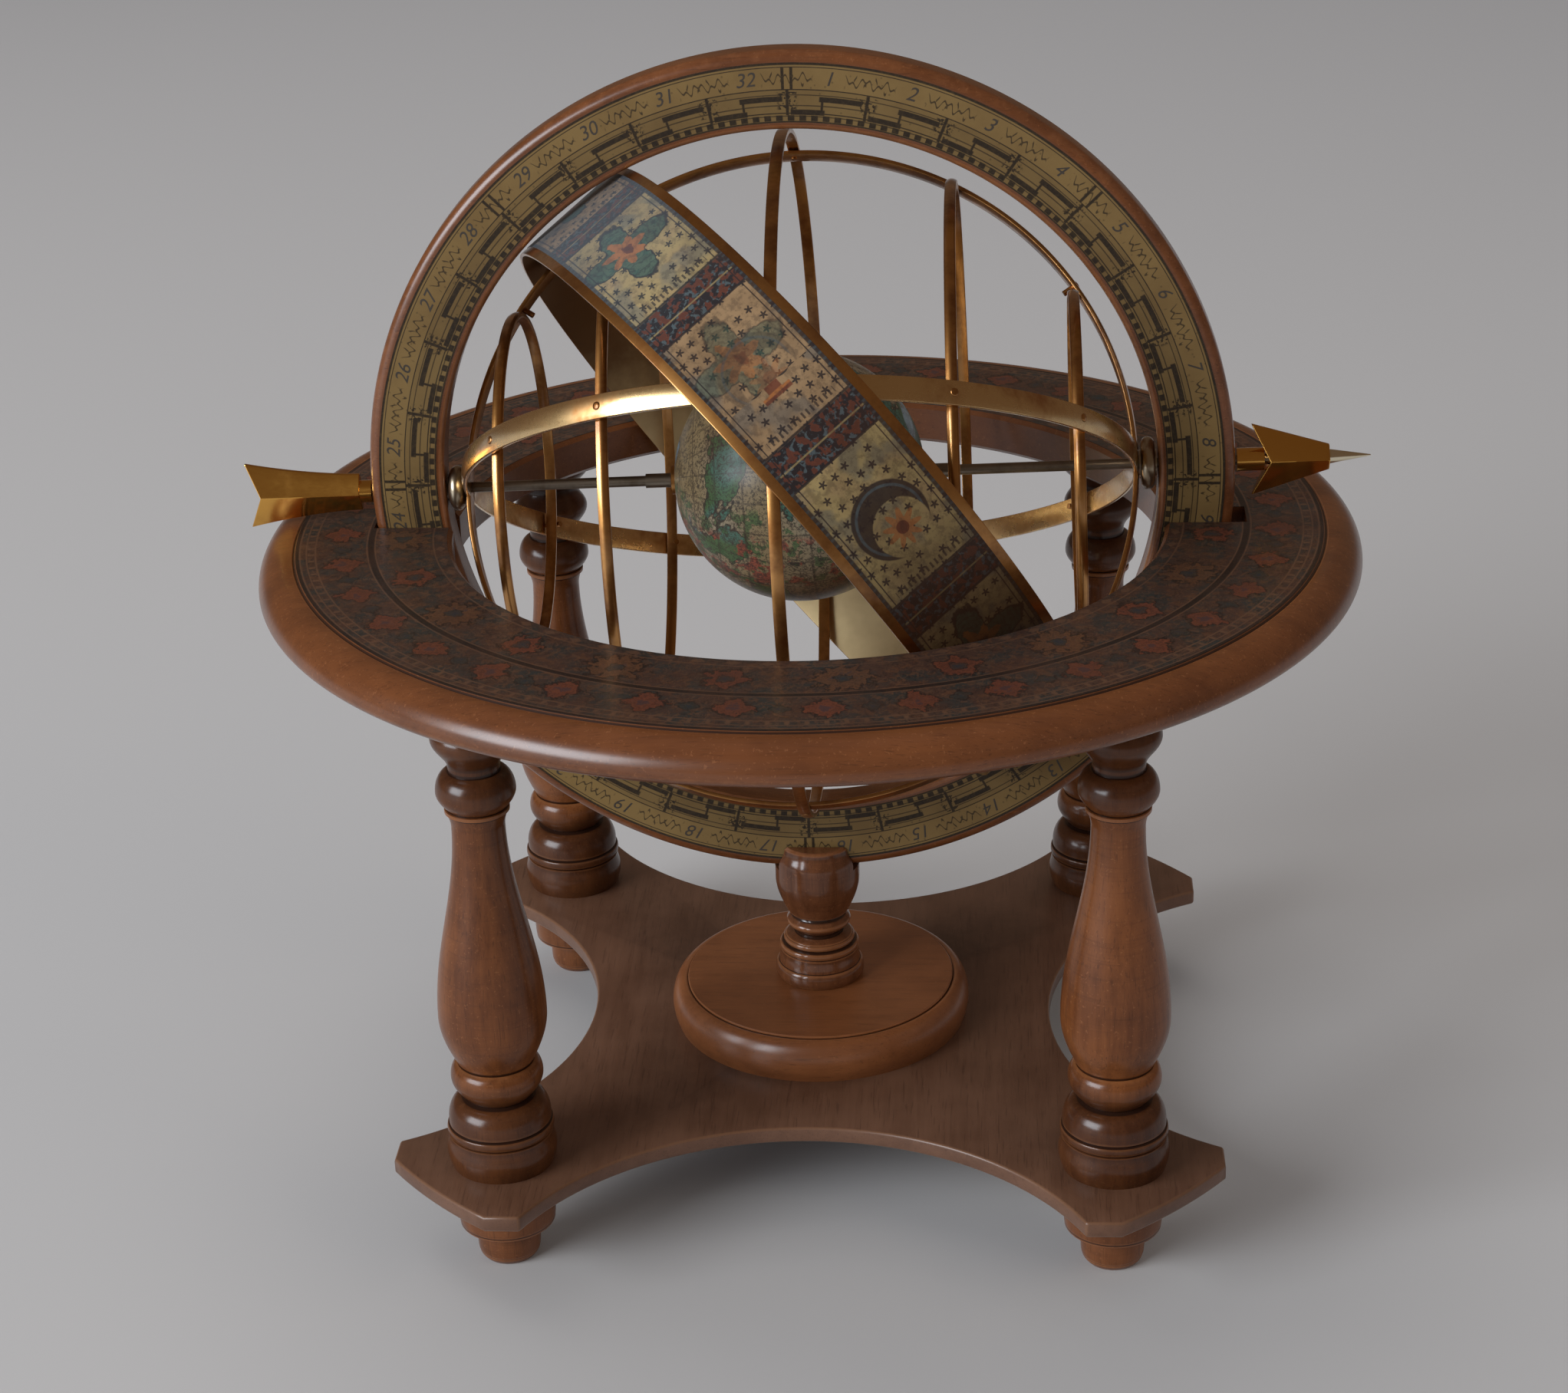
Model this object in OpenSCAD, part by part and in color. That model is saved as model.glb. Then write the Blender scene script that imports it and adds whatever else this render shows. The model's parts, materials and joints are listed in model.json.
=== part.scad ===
// Table globe: a banded sphere on a level rod, held by an upright ring in a four-legged stand.
// Millimetres, +Z up, +Y away from the viewer. The origin is on the table, under the middle.

/* [Feet] */
// Height of a foot, from the table to the plate
foot_h = 21.9; // [17:0.1:26]
// Radius of the round lower part
foot_r = 7.5; // [6.5:0.1:8.5]
// Height of the round lower part
foot_barrel_h = 7.6; // [6:0.1:12]
// Radius of the wide drum under the plate
foot_top_r = 11.6; // [9.5:0.1:13]
// Height of the wide drum
foot_drum_h = 12.3; // [8:0.1:14]

/* [Base plate] */
// Half the width of the square blank
plate_half = 97.5; // [95:0.1:105]
// Radius that trims the four tips
plate_trim_r = 121.7; // [117:0.5:128]
// Thickness of the plate
plate_t = 4; // [3:0.5:8]
// Radius of the hollow in each side
plate_hollow_r = 72.3; // [60:0.1:80]
// Distance from the middle to the centre of a hollow
plate_hollow_at = 130; // [117:0.1:136]
// Distance of the legs from the middle, along X and along Y
leg_at = 71.6; // [70:0.1:74]

/* [Legs] */
// Height of a leg, from the plate to the flat ring
leg_h = 123.3; // [115:0.1:145]
// Radius of the rounded band at the bottom
leg_base_r = 12.9; // [11:0.1:13.5]
// Height of that band
leg_band_h = 8.2; // [3:0.1:10]
// How far the band tucks in at the plate
leg_tuck = 0.9; // [0.5:0.1:3]
// Height of the bead over the band
leg_bead_h = 2.9; // [2:0.1:5]
// Height of the plain strip over the bead
leg_block_h = 1.2; // [0.8:0.1:6]
// Height of the dome over the strip
leg_dome_h = 5.7; // [4:0.1:8]
// Radius of the lower neck
leg_neck_r = 7.7; // [6:0.1:8.5]
// Radius of the ring over the neck
leg_ring_r = 10.8; // [9.5:0.1:11.5]
// Height of that ring
leg_ring_h = 9; // [7:0.1:12]
// Radius at the widest part of the belly
leg_belly_r = 12.6; // [10.5:0.1:13.5]
// Height from the ring to the widest part of the belly
leg_belly_h = 12.4; // [10:0.1:20]
// Radius of the slim waist
leg_waist_r = 6.1; // [5.5:0.1:7]
// Radius of the collar over the waist
leg_collar_r = 9.1; // [8:0.05:10]
// Height of the collar, with its cove and ledge
leg_collar_h = 15; // [12:0.1:18]
// Radius of the upper neck
leg_top_neck_r = 5.95; // [5:0.05:7]
// Radius of the ball over the upper neck
leg_ball_r = 9.45; // [8.5:0.05:10.5]
// Height of the ball
leg_ball_h = 12.8; // [10:0.1:15]
// Radius of the pad under the flat ring
leg_pad_r = 10.4; // [9:0.1:11.5]
// Height of the pad
leg_pad_h = 7.8; // [6:0.1:10]

/* [Dowels] */
// Radius of the dowels in the legs and feet
dowel_r = 3; // [2:0.1:4]
// Depth of a dowel in the foot
dowel_in_foot = 12; // [8:0.5:15]
// Depth of a dowel in the leg
dowel_in_leg = 14; // [8:0.5:20]
// Depth of a dowel in the flat ring
dowel_in_ring = 6; // [3:0.5:7]

/* [Pedestal] */
// Height of the round disc
disc_h = 10.9; // [9:0.1:18]
// Radius of the disc at its rounded edge
disc_r = 37.4; // [30:0.1:42]
// Radius of the disc's flat top
disc_top_r = 33.4; // [26:0.1:36]
// Radius of the cup that holds the upright ring
cup_r = 10.5; // [9.5:0.1:12]
// Height of the cup
cup_h = 19.3; // [15:0.1:21]
// Radius of the ring at the column's foot
column_foot_r = 11.1; // [10:0.1:14]
// Radius of the column's neck
column_neck_r = 6; // [5.5:0.1:8]
// Depth of the slot in the cup
slot_depth = 6.4; // [2:0.1:8]
// Gap under the upright ring in its slot
seat_gap = 0.3; // [0.2:0.05:1]
// Gap on each side of the upright ring in its slots
side_gap = 0.35; // [0.3:0.05:1]
// Radius of the wood screw's shank
screw_r = 2.1; // [1.5:0.1:3]
// Radius of the wood screw's head
screw_head_r = 4.2; // [3.5:0.1:5.5]
// Length of the wood screw
screw_l = 34; // [26:0.5:38]

/* [Upright ring] */
// Height of the rod's middle over the flat ring
rod_rise = 10.7; // [9.5:0.1:14]
// Outer radius
meridian_r = 101.8; // [98:0.1:106]
// Width of the ring, from inside to outside
meridian_w = 17.8; // [15:0.1:20]
// Thickness of the ring
meridian_t = 9.2; // [7:0.1:11]
// Rounding of the outer corners
meridian_round = 2.4; // [1:0.1:3]
// Rounding of the inner corners
meridian_inner_round = 1.4; // [0.5:0.1:3]
// Bare wood between the paper scale and the outer edge
meridian_margin = 2.5; // [2:0.1:4]
// Bare wood between the paper scale and the inner edge
meridian_inner_margin = 1.8; // [1.5:0.1:3]
// Thickness of the paper scales
paper_t = 0.12; // [0.08:0.01:0.3]

// Sideways place of the ring in its slots: below 0 it lies towards the tail
meridian_shift = -1.5; // [-2:0.1:2]

/* [Flat ring] */
// Gap between the openings of the upright ring and of the flat ring
horizon_over = 0.3; // [0:0.1:2]
// Width of the flat ring
horizon_w = 45.7; // [42:0.1:50]
// Thickness of the flat ring
horizon_t = 10; // [9:0.1:13]
// Width of the turned edge outside the paper scale
horizon_edge_w = 9.1; // [7:0.1:12]
// Bare wood inside the paper scale
horizon_inner_margin = 1.1; // [0.5:0.1:4]
// Height of the rounded nose above the underside
horizon_nose_h = 3.1; // [2:0.1:5]
// Gap outside the upright ring at the end of its notches
notch_gap = 0.4; // [0.3:0.1:2]

/* [Rod and arrow] */
// Slope of the rod, with the arrowhead up, in degrees
axis_tilt = 1.7; // [0:0.1:1.9]
// Radius of the rod
rod_r = 1.25; // [1:0.05:1.6]
// Running gap round the rod in its bushes
rod_gap = 0.05; // [0.02:0.01:0.1]
// Outer radius of the bushes in the upright ring
bush_r = 2.5; // [2.2:0.1:3.2]
// Gap between the upright ring and the root of the tail
tail_gap = 3.2; // [2:0.1:6]
// Length of the tail
tail_l = 27.5; // [15:0.5:27.5]
// Half the height of the tail at its end
tail_half = 8; // [6:0.1:8.2]
// Half the height of the tail at its root
tail_root_half = 4.5; // [3.5:0.1:5.5]
// Depth of the notch in the tail
tail_notch = 3.5; // [2:0.1:6]
// Half the thickness of the arrow's parts at the ridge
arrow_ridge = 3; // [2.2:0.1:4]
// Half the thickness of the arrow's parts at the edges
arrow_edge = 0.5; // [0.3:0.1:1]
// Gap between the upright ring and the arrowhead's barbs
head_gap = 3.8; // [3:0.1:6]
// Length of the arrowhead
head_l = 18; // [12:0.5:22]
// Half the height of the arrowhead at its barbs
head_half = 8.7; // [6:0.1:9]
// Half the height of the arrowhead at its blunt front
head_front_half = 3; // [2:0.1:4]
// Depth of the hollow between the barbs
head_notch = 4.3; // [2:0.1:6]
// Length of the needle that shows
needle_l = 9.5; // [6:0.1:15]
// Radius of the needle at its root
needle_r = 1.7; // [1:0.1:1.8]
// Radius of the collars on the rod beside the upright ring
collar_r = 2.7; // [1.7:0.1:3]
// Gap between a turning collar and the upright ring
collar_gap = 0.4; // [0.3:0.05:0.8]

/* [Banded sphere] */
// Turn of the sphere about its rod, in degrees
cage_turn = 56; // [0:1:90]
// Gap between the sphere and the upright ring
cage_gap = 0.67; // [0.4:0.01:2]
// Width of the two main hoops
colure_w = 5.5; // [4:0.1:7]
// Thickness of the two main hoops
colure_t = 1.4; // [1:0.1:2]
// Width of the middle hoop
equator_w = 2.8; // [2:0.1:5]
// Thickness of the middle hoop
equator_t = 1.3; // [0.8:0.1:1.8]
// Width of the four small hoops
circle_w = 2.6; // [2:0.1:4]
// Thickness of the four small hoops
circle_t = 1.3; // [0.8:0.1:1.8]
// Angle at the middle from the middle hoop to the outer edge of the larger small hoops
tropic_angle = 30.2; // [22:0.1:36]
// Angle at the middle from the middle hoop to the outer edge of the smaller small hoops
polar_angle = 58.4; // [50:0.1:64]
// Width of the broad slanted band
zodiac_w = 30; // [20:0.5:34]
// Thickness of the broad band
zodiac_t = 0.9; // [0.6:0.1:1.5]
// Brass that shows on each side of the broad band's paper
zodiac_margin = 2.3; // [1:0.1:4]
// Slant of the broad band, in degrees
zodiac_tilt = 41; // [30:1:45]
// Radius of the rivets
rivet_r = 0.7; // [0.5:0.05:0.9]
// Radius of the rivet heads
rivet_head_r = 1.15; // [1:0.05:1.3]
// Height of the rivet heads
rivet_head_h = 0.45; // [0.3:0.05:0.6]
// Radius of the bead at the tail's end of the sphere
bead_r = 5.4; // [3:0.05:6]
// Radius of the spool at the arrowhead's end of the sphere
spool_r = 6.2; // [4.5:0.1:6.5]

/* [Little globe] */
// Radius of the little globe
globe_r = 29.6; // [20:0.1:34]
// Wall of the little globe
globe_wall = 1.8; // [1:0.1:4]
// Radius of the bushes in the little globe
globe_bush_r = 2.4; // [2:0.1:3]
// Depth of the bushes in the little globe
globe_bush_l = 5; // [3:0.5:8]
// Radius of the bushes' flanges
globe_flange_r = 3.4; // [3.1:0.1:5]
// Thickness of the bushes' flanges
globe_flange_t = 0.8; // [0.5:0.1:1.5]
// Gap between the little globe and the sleeves on the rod
globe_gap = 0.3; // [0.2:0.05:1]
// Radius of the sleeves on the rod
sleeve_r = 1.7; // [1.65:0.05:2.5]
// Length of the sleeves on the rod
sleeve_l = 6; // [3:0.5:12]

/* [Hidden] */

$fn = 96;
// A cut reaches this far past the face that it opens
over = 1;
// Number of steps in a turned curve
steps = 8;

LEFT = -1;
RIGHT = 1;
FRONT = -1;
BACK = 1;

wood = [0.42, 0.2, 0.1];
dark_wood = [0.27, 0.13, 0.08];
horizon_paper = [0.2, 0.11, 0.1];
tan_paper = [0.62, 0.53, 0.33];
brass = [0.72, 0.52, 0.22];
steel = [0.6, 0.6, 0.6];
map_paper = [0.55, 0.58, 0.5];

// Heights in the stand
plate_z = foot_h;
plate_top = plate_z + plate_t;
disc_top = plate_top + disc_h;
horizon_z = plate_top + leg_h;
horizon_top = horizon_z + horizon_t;
centre_h = horizon_top + rod_rise;
column_top = centre_h - meridian_r + slot_depth - seat_gap;
column_h = column_top - disc_top;

// The two great rings
meridian_in = meridian_r - meridian_w;
slot_w = meridian_t + 2 * paper_t + 2 * side_gap;
notch_end = sqrt(pow(meridian_r, 2) - pow(centre_h - horizon_top, 2))
    + abs(meridian_shift) + notch_gap;
horizon_in = meridian_in + horizon_over;
horizon_r = horizon_in + horizon_w;

// The banded sphere is sized from the outside in, so that it turns clear of the upright ring
hoop_gap = 0.05;
zodiac_out = sqrt(pow(meridian_in - cage_gap, 2) - pow(zodiac_w / 2, 2)) - paper_t;
zodiac_in = zodiac_out - zodiac_t;
equator_out = zodiac_in - hoop_gap;
cage_out = equator_out - equator_t;
cage_in = cage_out - colure_t;
cage_mid = (cage_out + cage_in) / 2;
lap_gap = 0.05;
rivet_inner = cage_in - 2.4;
rivet_proud = 0.4;
rivet_set_in = 0.1;
rivet_crown = 0.75;

// The wood screw's tip and the slot in its head
screw_tip_l = 4;
screw_slot_w = 1;
screw_slot_d = 0.9;

// Places along the rod
pole_gap = 0.4;
rod_in_tail = 10;
needle_in = 6;
needle_space = 0.5;
rod_in_head = head_l - head_notch - needle_in - needle_space;
tail_root = meridian_r + tail_gap;
tail_reach = tail_root + tail_l;
tail_flare = 1.7;
head_at = meridian_r + head_gap;
head_front = head_at + head_l;
head_back = head_at + head_notch;
seat_slip = 0.05;
head_seat = head_back - head_notch * collar_r / head_half - seat_slip;
needle_step = 0.6;
needle_tip_r = 0.15;
bush_set_in = 0.1;
globe_end = sqrt(pow(globe_r, 2) - pow(globe_flange_r, 2)) + globe_flange_t;

// Curves for turned work. Each starts after the point before it, at height z0 and radius r0.
function swell(z0, r0, z1, r1) =
    [for (i = [1:steps]) let (t = i / steps) [r0 + (r1 - r0) * sin(90 * t), z0 + (z1 - z0) * t]];
function cove(z0, r0, z1, r1) =
    [for (i = [1:steps]) let (t = i / steps) [r1 + (r0 - r1) * cos(90 * t), z0 + (z1 - z0) * t]];
function sway(z0, r0, z1, r1) =
    [for (i = [1:steps]) let (t = i / steps)
        [r0 + (r1 - r0) * (1 - cos(180 * t)) / 2, z0 + (z1 - z0) * t]];
function shoulder(z0, r0, z1, r1) =
    [for (i = [1:steps]) let (a = 90 * i / steps)
        [r1 + (r0 - r1) * cos(a), z0 + (z1 - z0) * sin(a)]];
function bead(z0, z1, r, out) =
    [for (i = [0:steps]) let (a = 180 * i / steps)
        [r + out * sin(a), (z0 + z1) / 2 - (z1 - z0) / 2 * cos(a)]];
function corner(x, y, r, from) =
    [for (i = [0:steps]) let (a = from + 90 * i / steps) [x + r * cos(a), y + r * sin(a)]];

// Small breaks on turned edges
edge_break = 0.4;

// Profile of a foot: rounded barrel, fine groove, quick flare and wide drum
foot_groove = 0.5;
foot_swell = 0.3;
foot_tuck = 1;
foot_tuck_h = 1.8;
foot_drum_z = foot_h - foot_drum_h;
foot_profile = concat(
    [[0, 0], [foot_r - foot_swell - foot_tuck, 0]],
    swell(0, foot_r - foot_swell - foot_tuck, foot_tuck_h, foot_r - foot_swell),
    bead(foot_tuck_h, foot_barrel_h, foot_r - foot_swell, foot_swell),
    [[foot_r - foot_groove, foot_barrel_h + foot_groove]],
    sway(foot_barrel_h + foot_groove, foot_r - foot_groove, foot_drum_z, foot_top_r - foot_swell),
    bead(foot_drum_z + foot_groove, foot_h - edge_break, foot_top_r - foot_swell, foot_swell),
    [[foot_top_r - foot_swell - edge_break, foot_h], [0, foot_h]]);

// Heights on a leg, from the plate up
leg_z1 = leg_band_h;
leg_z2 = leg_z1 + leg_bead_h;
leg_z3 = leg_z2 + leg_block_h;
leg_z4 = leg_z3 + leg_dome_h;
leg_z5 = leg_z4 + leg_ring_h;
leg_z6 = leg_z5 + leg_belly_h;
leg_z9 = leg_h - leg_pad_h;
leg_z8 = leg_z9 - leg_ball_h;
leg_z7 = leg_z8 - leg_collar_h;
leg_fillet = 0.7;
leg_groove = 0.3;
leg_groove_r = leg_base_r - 1.2;
leg_strip_r = leg_base_r - 0.9;
dome_crown_r = leg_neck_r + 1;
dome_crown = leg_z4 - 0.4;
ring_seat_r = leg_neck_r + 1.1;
ledge_r = leg_waist_r + 1.3;
ledge_root_r = leg_waist_r + 0.8;
ball_top_r = leg_top_neck_r + 1;
pad_rim_h = 2.5;

// Heights where the band, the ring, the ledge, the collar and the ball turn
band_mid = leg_band_h / 2;
ring_peak = leg_z4 + 0.6 * leg_ring_h;
ledge_z = leg_z7 + 0.24 * leg_collar_h;
collar_root = leg_z7 + 0.33 * leg_collar_h;
collar_peak = leg_z7 + 0.59 * leg_collar_h;
collar_crown = leg_z7 + 0.92 * leg_collar_h;
ball_peak = leg_z8 + 0.55 * leg_ball_h;

leg_profile = concat(
    [[0, 0], [leg_base_r - leg_tuck, 0]],
    swell(0, leg_base_r - leg_tuck, band_mid, leg_base_r),
    sway(band_mid, leg_base_r, leg_z1, leg_base_r - leg_fillet),
    [[leg_groove_r, leg_z1 + leg_groove]],
    bead(leg_z1 + 2 * leg_groove, leg_z2 - leg_groove, leg_base_r - leg_fillet, leg_fillet / 2),
    [[leg_groove_r, leg_z2], [leg_strip_r, leg_z2 + leg_groove], [leg_strip_r, leg_z3]],
    shoulder(leg_z3, leg_strip_r, dome_crown, dome_crown_r),
    [[leg_neck_r, leg_z4]],
    swell(leg_z4, leg_neck_r, ring_peak, leg_ring_r),
    shoulder(ring_peak, leg_ring_r, leg_z5, ring_seat_r),
    swell(leg_z5, ring_seat_r, leg_z6, leg_belly_r),
    sway(leg_z6, leg_belly_r, leg_z7, leg_waist_r),
    cove(leg_z7, leg_waist_r, ledge_z, ledge_root_r),
    [[ledge_r, ledge_z + leg_groove], [ledge_r, collar_root - leg_groove],
        [ledge_root_r, collar_root]],
    swell(collar_root, ledge_root_r, collar_peak, leg_collar_r),
    shoulder(collar_peak, leg_collar_r, collar_crown, leg_top_neck_r),
    [[leg_top_neck_r, leg_z8]],
    sway(leg_z8, leg_top_neck_r, ball_peak, leg_ball_r),
    sway(ball_peak, leg_ball_r, leg_z9, ball_top_r),
    sway(leg_z9, ball_top_r, leg_h - pad_rim_h, leg_pad_r),
    [[leg_pad_r, leg_h - leg_fillet], [leg_pad_r - leg_fillet, leg_h], [0, leg_h]]);

disc_tuck = 1;
disc_mid = 0.42 * disc_h;
disc_profile = concat(
    [[0, 0], [disc_r - disc_tuck, 0]],
    swell(0, disc_r - disc_tuck, disc_mid, disc_r),
    shoulder(disc_mid, disc_r, disc_h, disc_top_r),
    [[0, disc_h]]);

// Heights on the column, from the disc up: first its beads and ring, then the cup
cup_z = column_h - cup_h;
column_z = [for (share = [0.41, 0.43, 0.52, 0.54, 0.62, 0.67, 0.69, 0.85, 0.97]) share * cup_z];
cup_mid = cup_z + cup_h / 2;
cup_shoulder = cup_z + 0.72 * cup_h;
cup_lip = column_h - 0.6;
bead_out = 0.5;
foot_bead_out = 0.9;
second_bead_r = column_foot_r - 1.7;
third_bead_r = column_foot_r - 2.7;
stem_ring_r = column_neck_r + 2;
cup_base_r = column_neck_r + 1.5;
cup_lip_r = cup_r - 1.3;
cup_top_r = cup_r - 1.9;
column_profile = concat(
    [[0, 0], [column_foot_r - foot_bead_out, 0]],
    bead(0, column_z[0], column_foot_r - foot_bead_out, foot_bead_out),
    bead(column_z[1], column_z[2], second_bead_r, bead_out),
    bead(column_z[3], column_z[4], third_bead_r, bead_out),
    cove(column_z[4], third_bead_r, column_z[5], column_neck_r),
    sway(column_z[6], column_neck_r, column_z[7], stem_ring_r),
    sway(column_z[7], stem_ring_r, column_z[8], column_neck_r + bead_out),
    [[cup_base_r, cup_z]],
    swell(cup_z, cup_base_r, cup_mid, cup_r),
    [[cup_r, cup_shoulder]],
    sway(cup_shoulder, cup_r, cup_lip, cup_lip_r),
    [[cup_top_r, column_h], [0, column_h]]);

// Section of the flat ring: flat top, fine groove, bead and rounded nose
label_edge = horizon_r - horizon_edge_w;
nose_z = horizon_z + horizon_nose_h;
groove_d = 0.5;
edge_drop = 0.3;
nose_round = 5;
crown_round = 8;
inner_break = 1;
horizon_profile = concat(
    [[horizon_in + inner_break, horizon_z], [horizon_r - nose_round, horizon_z]],
    [for (i = [1:steps]) let (a = 90 * i / steps)
        [horizon_r - nose_round + nose_round * sin(a), nose_z - horizon_nose_h * cos(a)]],
    [for (i = [1:steps]) let (a = 90 * i / steps)
        [horizon_r - crown_round + crown_round * cos(a),
            nose_z + (horizon_top - edge_drop - nose_z) * sin(a)]],
    [[label_edge + 2 * groove_d, horizon_top - edge_drop]],
    [[label_edge + groove_d, horizon_top - groove_d], [label_edge, horizon_top]],
    [[horizon_in + inner_break, horizon_top], [horizon_in, horizon_top - inner_break],
        [horizon_in, horizon_z + inner_break]]);

// Section of the upright ring, as radius and distance from its middle plane
meridian_profile = concat(
    corner(meridian_r - meridian_round, meridian_t / 2 - meridian_round, meridian_round, 0),
    corner(meridian_in + meridian_inner_round, meridian_t / 2 - meridian_inner_round,
        meridian_inner_round, 90),
    corner(meridian_in + meridian_inner_round, -meridian_t / 2 + meridian_inner_round,
        meridian_inner_round, 180),
    corner(meridian_r - meridian_round, -meridian_t / 2 + meridian_round, meridian_round, 270));

// Places children at the leg in that corner.
module at_leg(side, depth) {
    translate([side * leg_at, depth * leg_at, 0]) children();
}

// Places children at the middle of the upright ring and the sphere.
module at_centre() {
    translate([meridian_shift, 0, centre_h]) children();
}

// Places children at the sphere's middle, with +X along the rod towards the arrowhead.
module on_axis() {
    at_centre() rotate([0, -axis_tilt, 0]) children();
}

// Points children along the rod, to the left or to the right.
module along_rod(side) {
    rotate([0, side * 90, 0]) children();
}

// A tube along +Z from z0 to z1; a bore of 0 leaves it solid.
module tube(z0, z1, r, bore) {
    translate([0, 0, z0]) difference() {
        cylinder(h = z1 - z0, r = r);
        if (bore > 0) translate([0, 0, -over]) cylinder(h = z1 - z0 + 2 * over, r = bore);
    }
}

// A hoop about +Z, centred on its middle plane.
module hoop(r_out, r_in, w) {
    rotate_extrude() translate([r_in, -w / 2]) square([r_out - r_in, w]);
}

module foot(side, depth) {
    color(wood) at_leg(side, depth) difference() {
        rotate_extrude() polygon(foot_profile);
        tube(foot_h - dowel_in_foot, foot_h + over, dowel_r, 0);
    }
}

module base_plate() {
    color(dark_wood) translate([0, 0, plate_z]) difference() {
        linear_extrude(plate_t) difference() {
            intersection() {
                square(2 * plate_half, center = true);
                circle(plate_trim_r);
            }
            for (a = [0:90:270]) rotate(a) translate([plate_hollow_at, 0]) circle(plate_hollow_r);
        }
        for (side = [LEFT, RIGHT], depth = [FRONT, BACK])
            at_leg(side, depth) tube(-over, plate_t + over, dowel_r, 0);
        translate([0, 0, -plate_z]) screw_body(0);
    }
}

module leg(side, depth) {
    color(wood) at_leg(side, depth) translate([0, 0, plate_top]) difference() {
        rotate_extrude() polygon(leg_profile);
        tube(-over, dowel_in_leg, dowel_r, 0);
        tube(leg_h - dowel_in_leg, leg_h + over, dowel_r, 0);
    }
}

module lower_dowels() {
    color(tan_paper) for (side = [LEFT, RIGHT], depth = [FRONT, BACK]) at_leg(side, depth)
        tube(plate_z - dowel_in_foot, plate_top + dowel_in_leg, dowel_r, 0);
}

module upper_dowels() {
    color(tan_paper) for (side = [LEFT, RIGHT], depth = [FRONT, BACK]) at_leg(side, depth)
        tube(horizon_z - dowel_in_leg, horizon_z + dowel_in_ring, dowel_r, 0);
}

module pedestal_disc() {
    color(wood) difference() {
        translate([0, 0, plate_top]) rotate_extrude() polygon(disc_profile);
        screw_body(0);
    }
}

module pedestal_column() {
    color(wood) difference() {
        translate([0, 0, disc_top]) rotate_extrude() polygon(column_profile);
        translate([-cup_r - over, -slot_w / 2, column_top - slot_depth])
            cube([2 * (cup_r + over), slot_w, slot_depth + over]);
        screw_body(0);
    }
}

// The wood screw that holds disc and column from below, with its slot when slot_cut is 1.
module screw_body(slot_cut) {
    difference() {
        translate([0, 0, plate_z]) rotate_extrude() polygon([
            [0, 0], [screw_head_r, 0], [screw_head_r, edge_break],
            [screw_r, edge_break + screw_head_r - screw_r],
            [screw_r, screw_l - screw_tip_l], [edge_break, screw_l], [0, screw_l]]);
        if (slot_cut == 1) translate([-screw_head_r - over, -screw_slot_w / 2, plate_z - over])
            cube([2 * (screw_head_r + over), screw_slot_w, over + screw_slot_d]);
    }
}

module pedestal_screw() {
    color(steel) screw_body(1);
}

// The two notches in the flat ring where the upright ring passes.
module horizon_notches() {
    for (side = [LEFT, RIGHT]) rotate(side == LEFT ? 180 : 0)
        translate([horizon_in - 3 * over, -slot_w / 2, horizon_z - over])
            cube([notch_end - horizon_in + 3 * over, slot_w, horizon_t + paper_t + 2 * over]);
}

module horizon_ring() {
    color(wood) difference() {
        rotate_extrude() polygon(horizon_profile);
        horizon_notches();
        for (side = [LEFT, RIGHT], depth = [FRONT, BACK]) at_leg(side, depth)
            tube(horizon_z - over, horizon_z + dowel_in_ring, dowel_r, 0);
    }
}

module horizon_scale() {
    color(horizon_paper) difference() {
        tube(horizon_top, horizon_top + paper_t, label_edge, horizon_in + horizon_inner_margin);
        horizon_notches();
    }
}

module meridian_ring() {
    color(wood) difference() {
        at_centre() rotate([90, 0, 0]) rotate_extrude() polygon(meridian_profile);
        for (side = [LEFT, RIGHT]) on_axis() along_rod(side)
            tube(meridian_in - over, meridian_r + over, bush_r, 0);
    }
}

module meridian_scale(depth) {
    color(tan_paper) at_centre() translate([0, depth * (meridian_t + paper_t) / 2, 0])
        rotate([90, 0, 0]) tube(-paper_t / 2, paper_t / 2, meridian_r - meridian_margin,
            meridian_in + meridian_inner_margin);
}

module rod_bush(side) {
    color(brass) on_axis() along_rod(side)
        tube(meridian_in + bush_set_in, meridian_r - bush_set_in, bush_r, rod_r + rod_gap);
}

module axis_rod() {
    color(steel) on_axis() rotate([0, 90, 0])
        tube(-tail_root - rod_in_tail, head_back + rod_in_head, rod_r, 0);
}

// A solid part of the arrow along +X: two edges and a ridge on each face.
// Edges run from x0 to x1 and the ridge from x0 + n0 to x1 - n1; bend curves the edges.
module arrow_part(x0, x1, n0, n1, half0, half1, bend) {
    rows = 6;
    function edge_x(i) = x0 + (x1 - x0) * i / rows;
    function ridge_x(i) = x0 + n0 + (x1 - n1 - x0 - n0) * i / rows;
    function half(i) = half0 + (half1 - half0) * pow(i / rows, bend);
    ring = 6;
    points = [for (i = [0:rows]) each [
        [edge_x(i), -arrow_edge, half(i)],
        [ridge_x(i), -arrow_ridge, 0],
        [edge_x(i), -arrow_edge, -half(i)],
        [edge_x(i), arrow_edge, -half(i)],
        [ridge_x(i), arrow_ridge, 0],
        [edge_x(i), arrow_edge, half(i)]]];
    sides = [for (i = [0:rows - 1], k = [0:ring - 1])
        let (a = i * ring + k, b = i * ring + (k + 1) % ring)
        each [[a, b, b + ring], [a, b + ring, a + ring]]];
    last = rows * ring;
    caps = [[5, 4, 1, 0], [4, 3, 2, 1], [last, last + 1, last + 4, last + 5],
        [last + 1, last + 2, last + 3, last + 4]];
    polyhedron(points, concat(sides, caps), convexity = 4);
}

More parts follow.
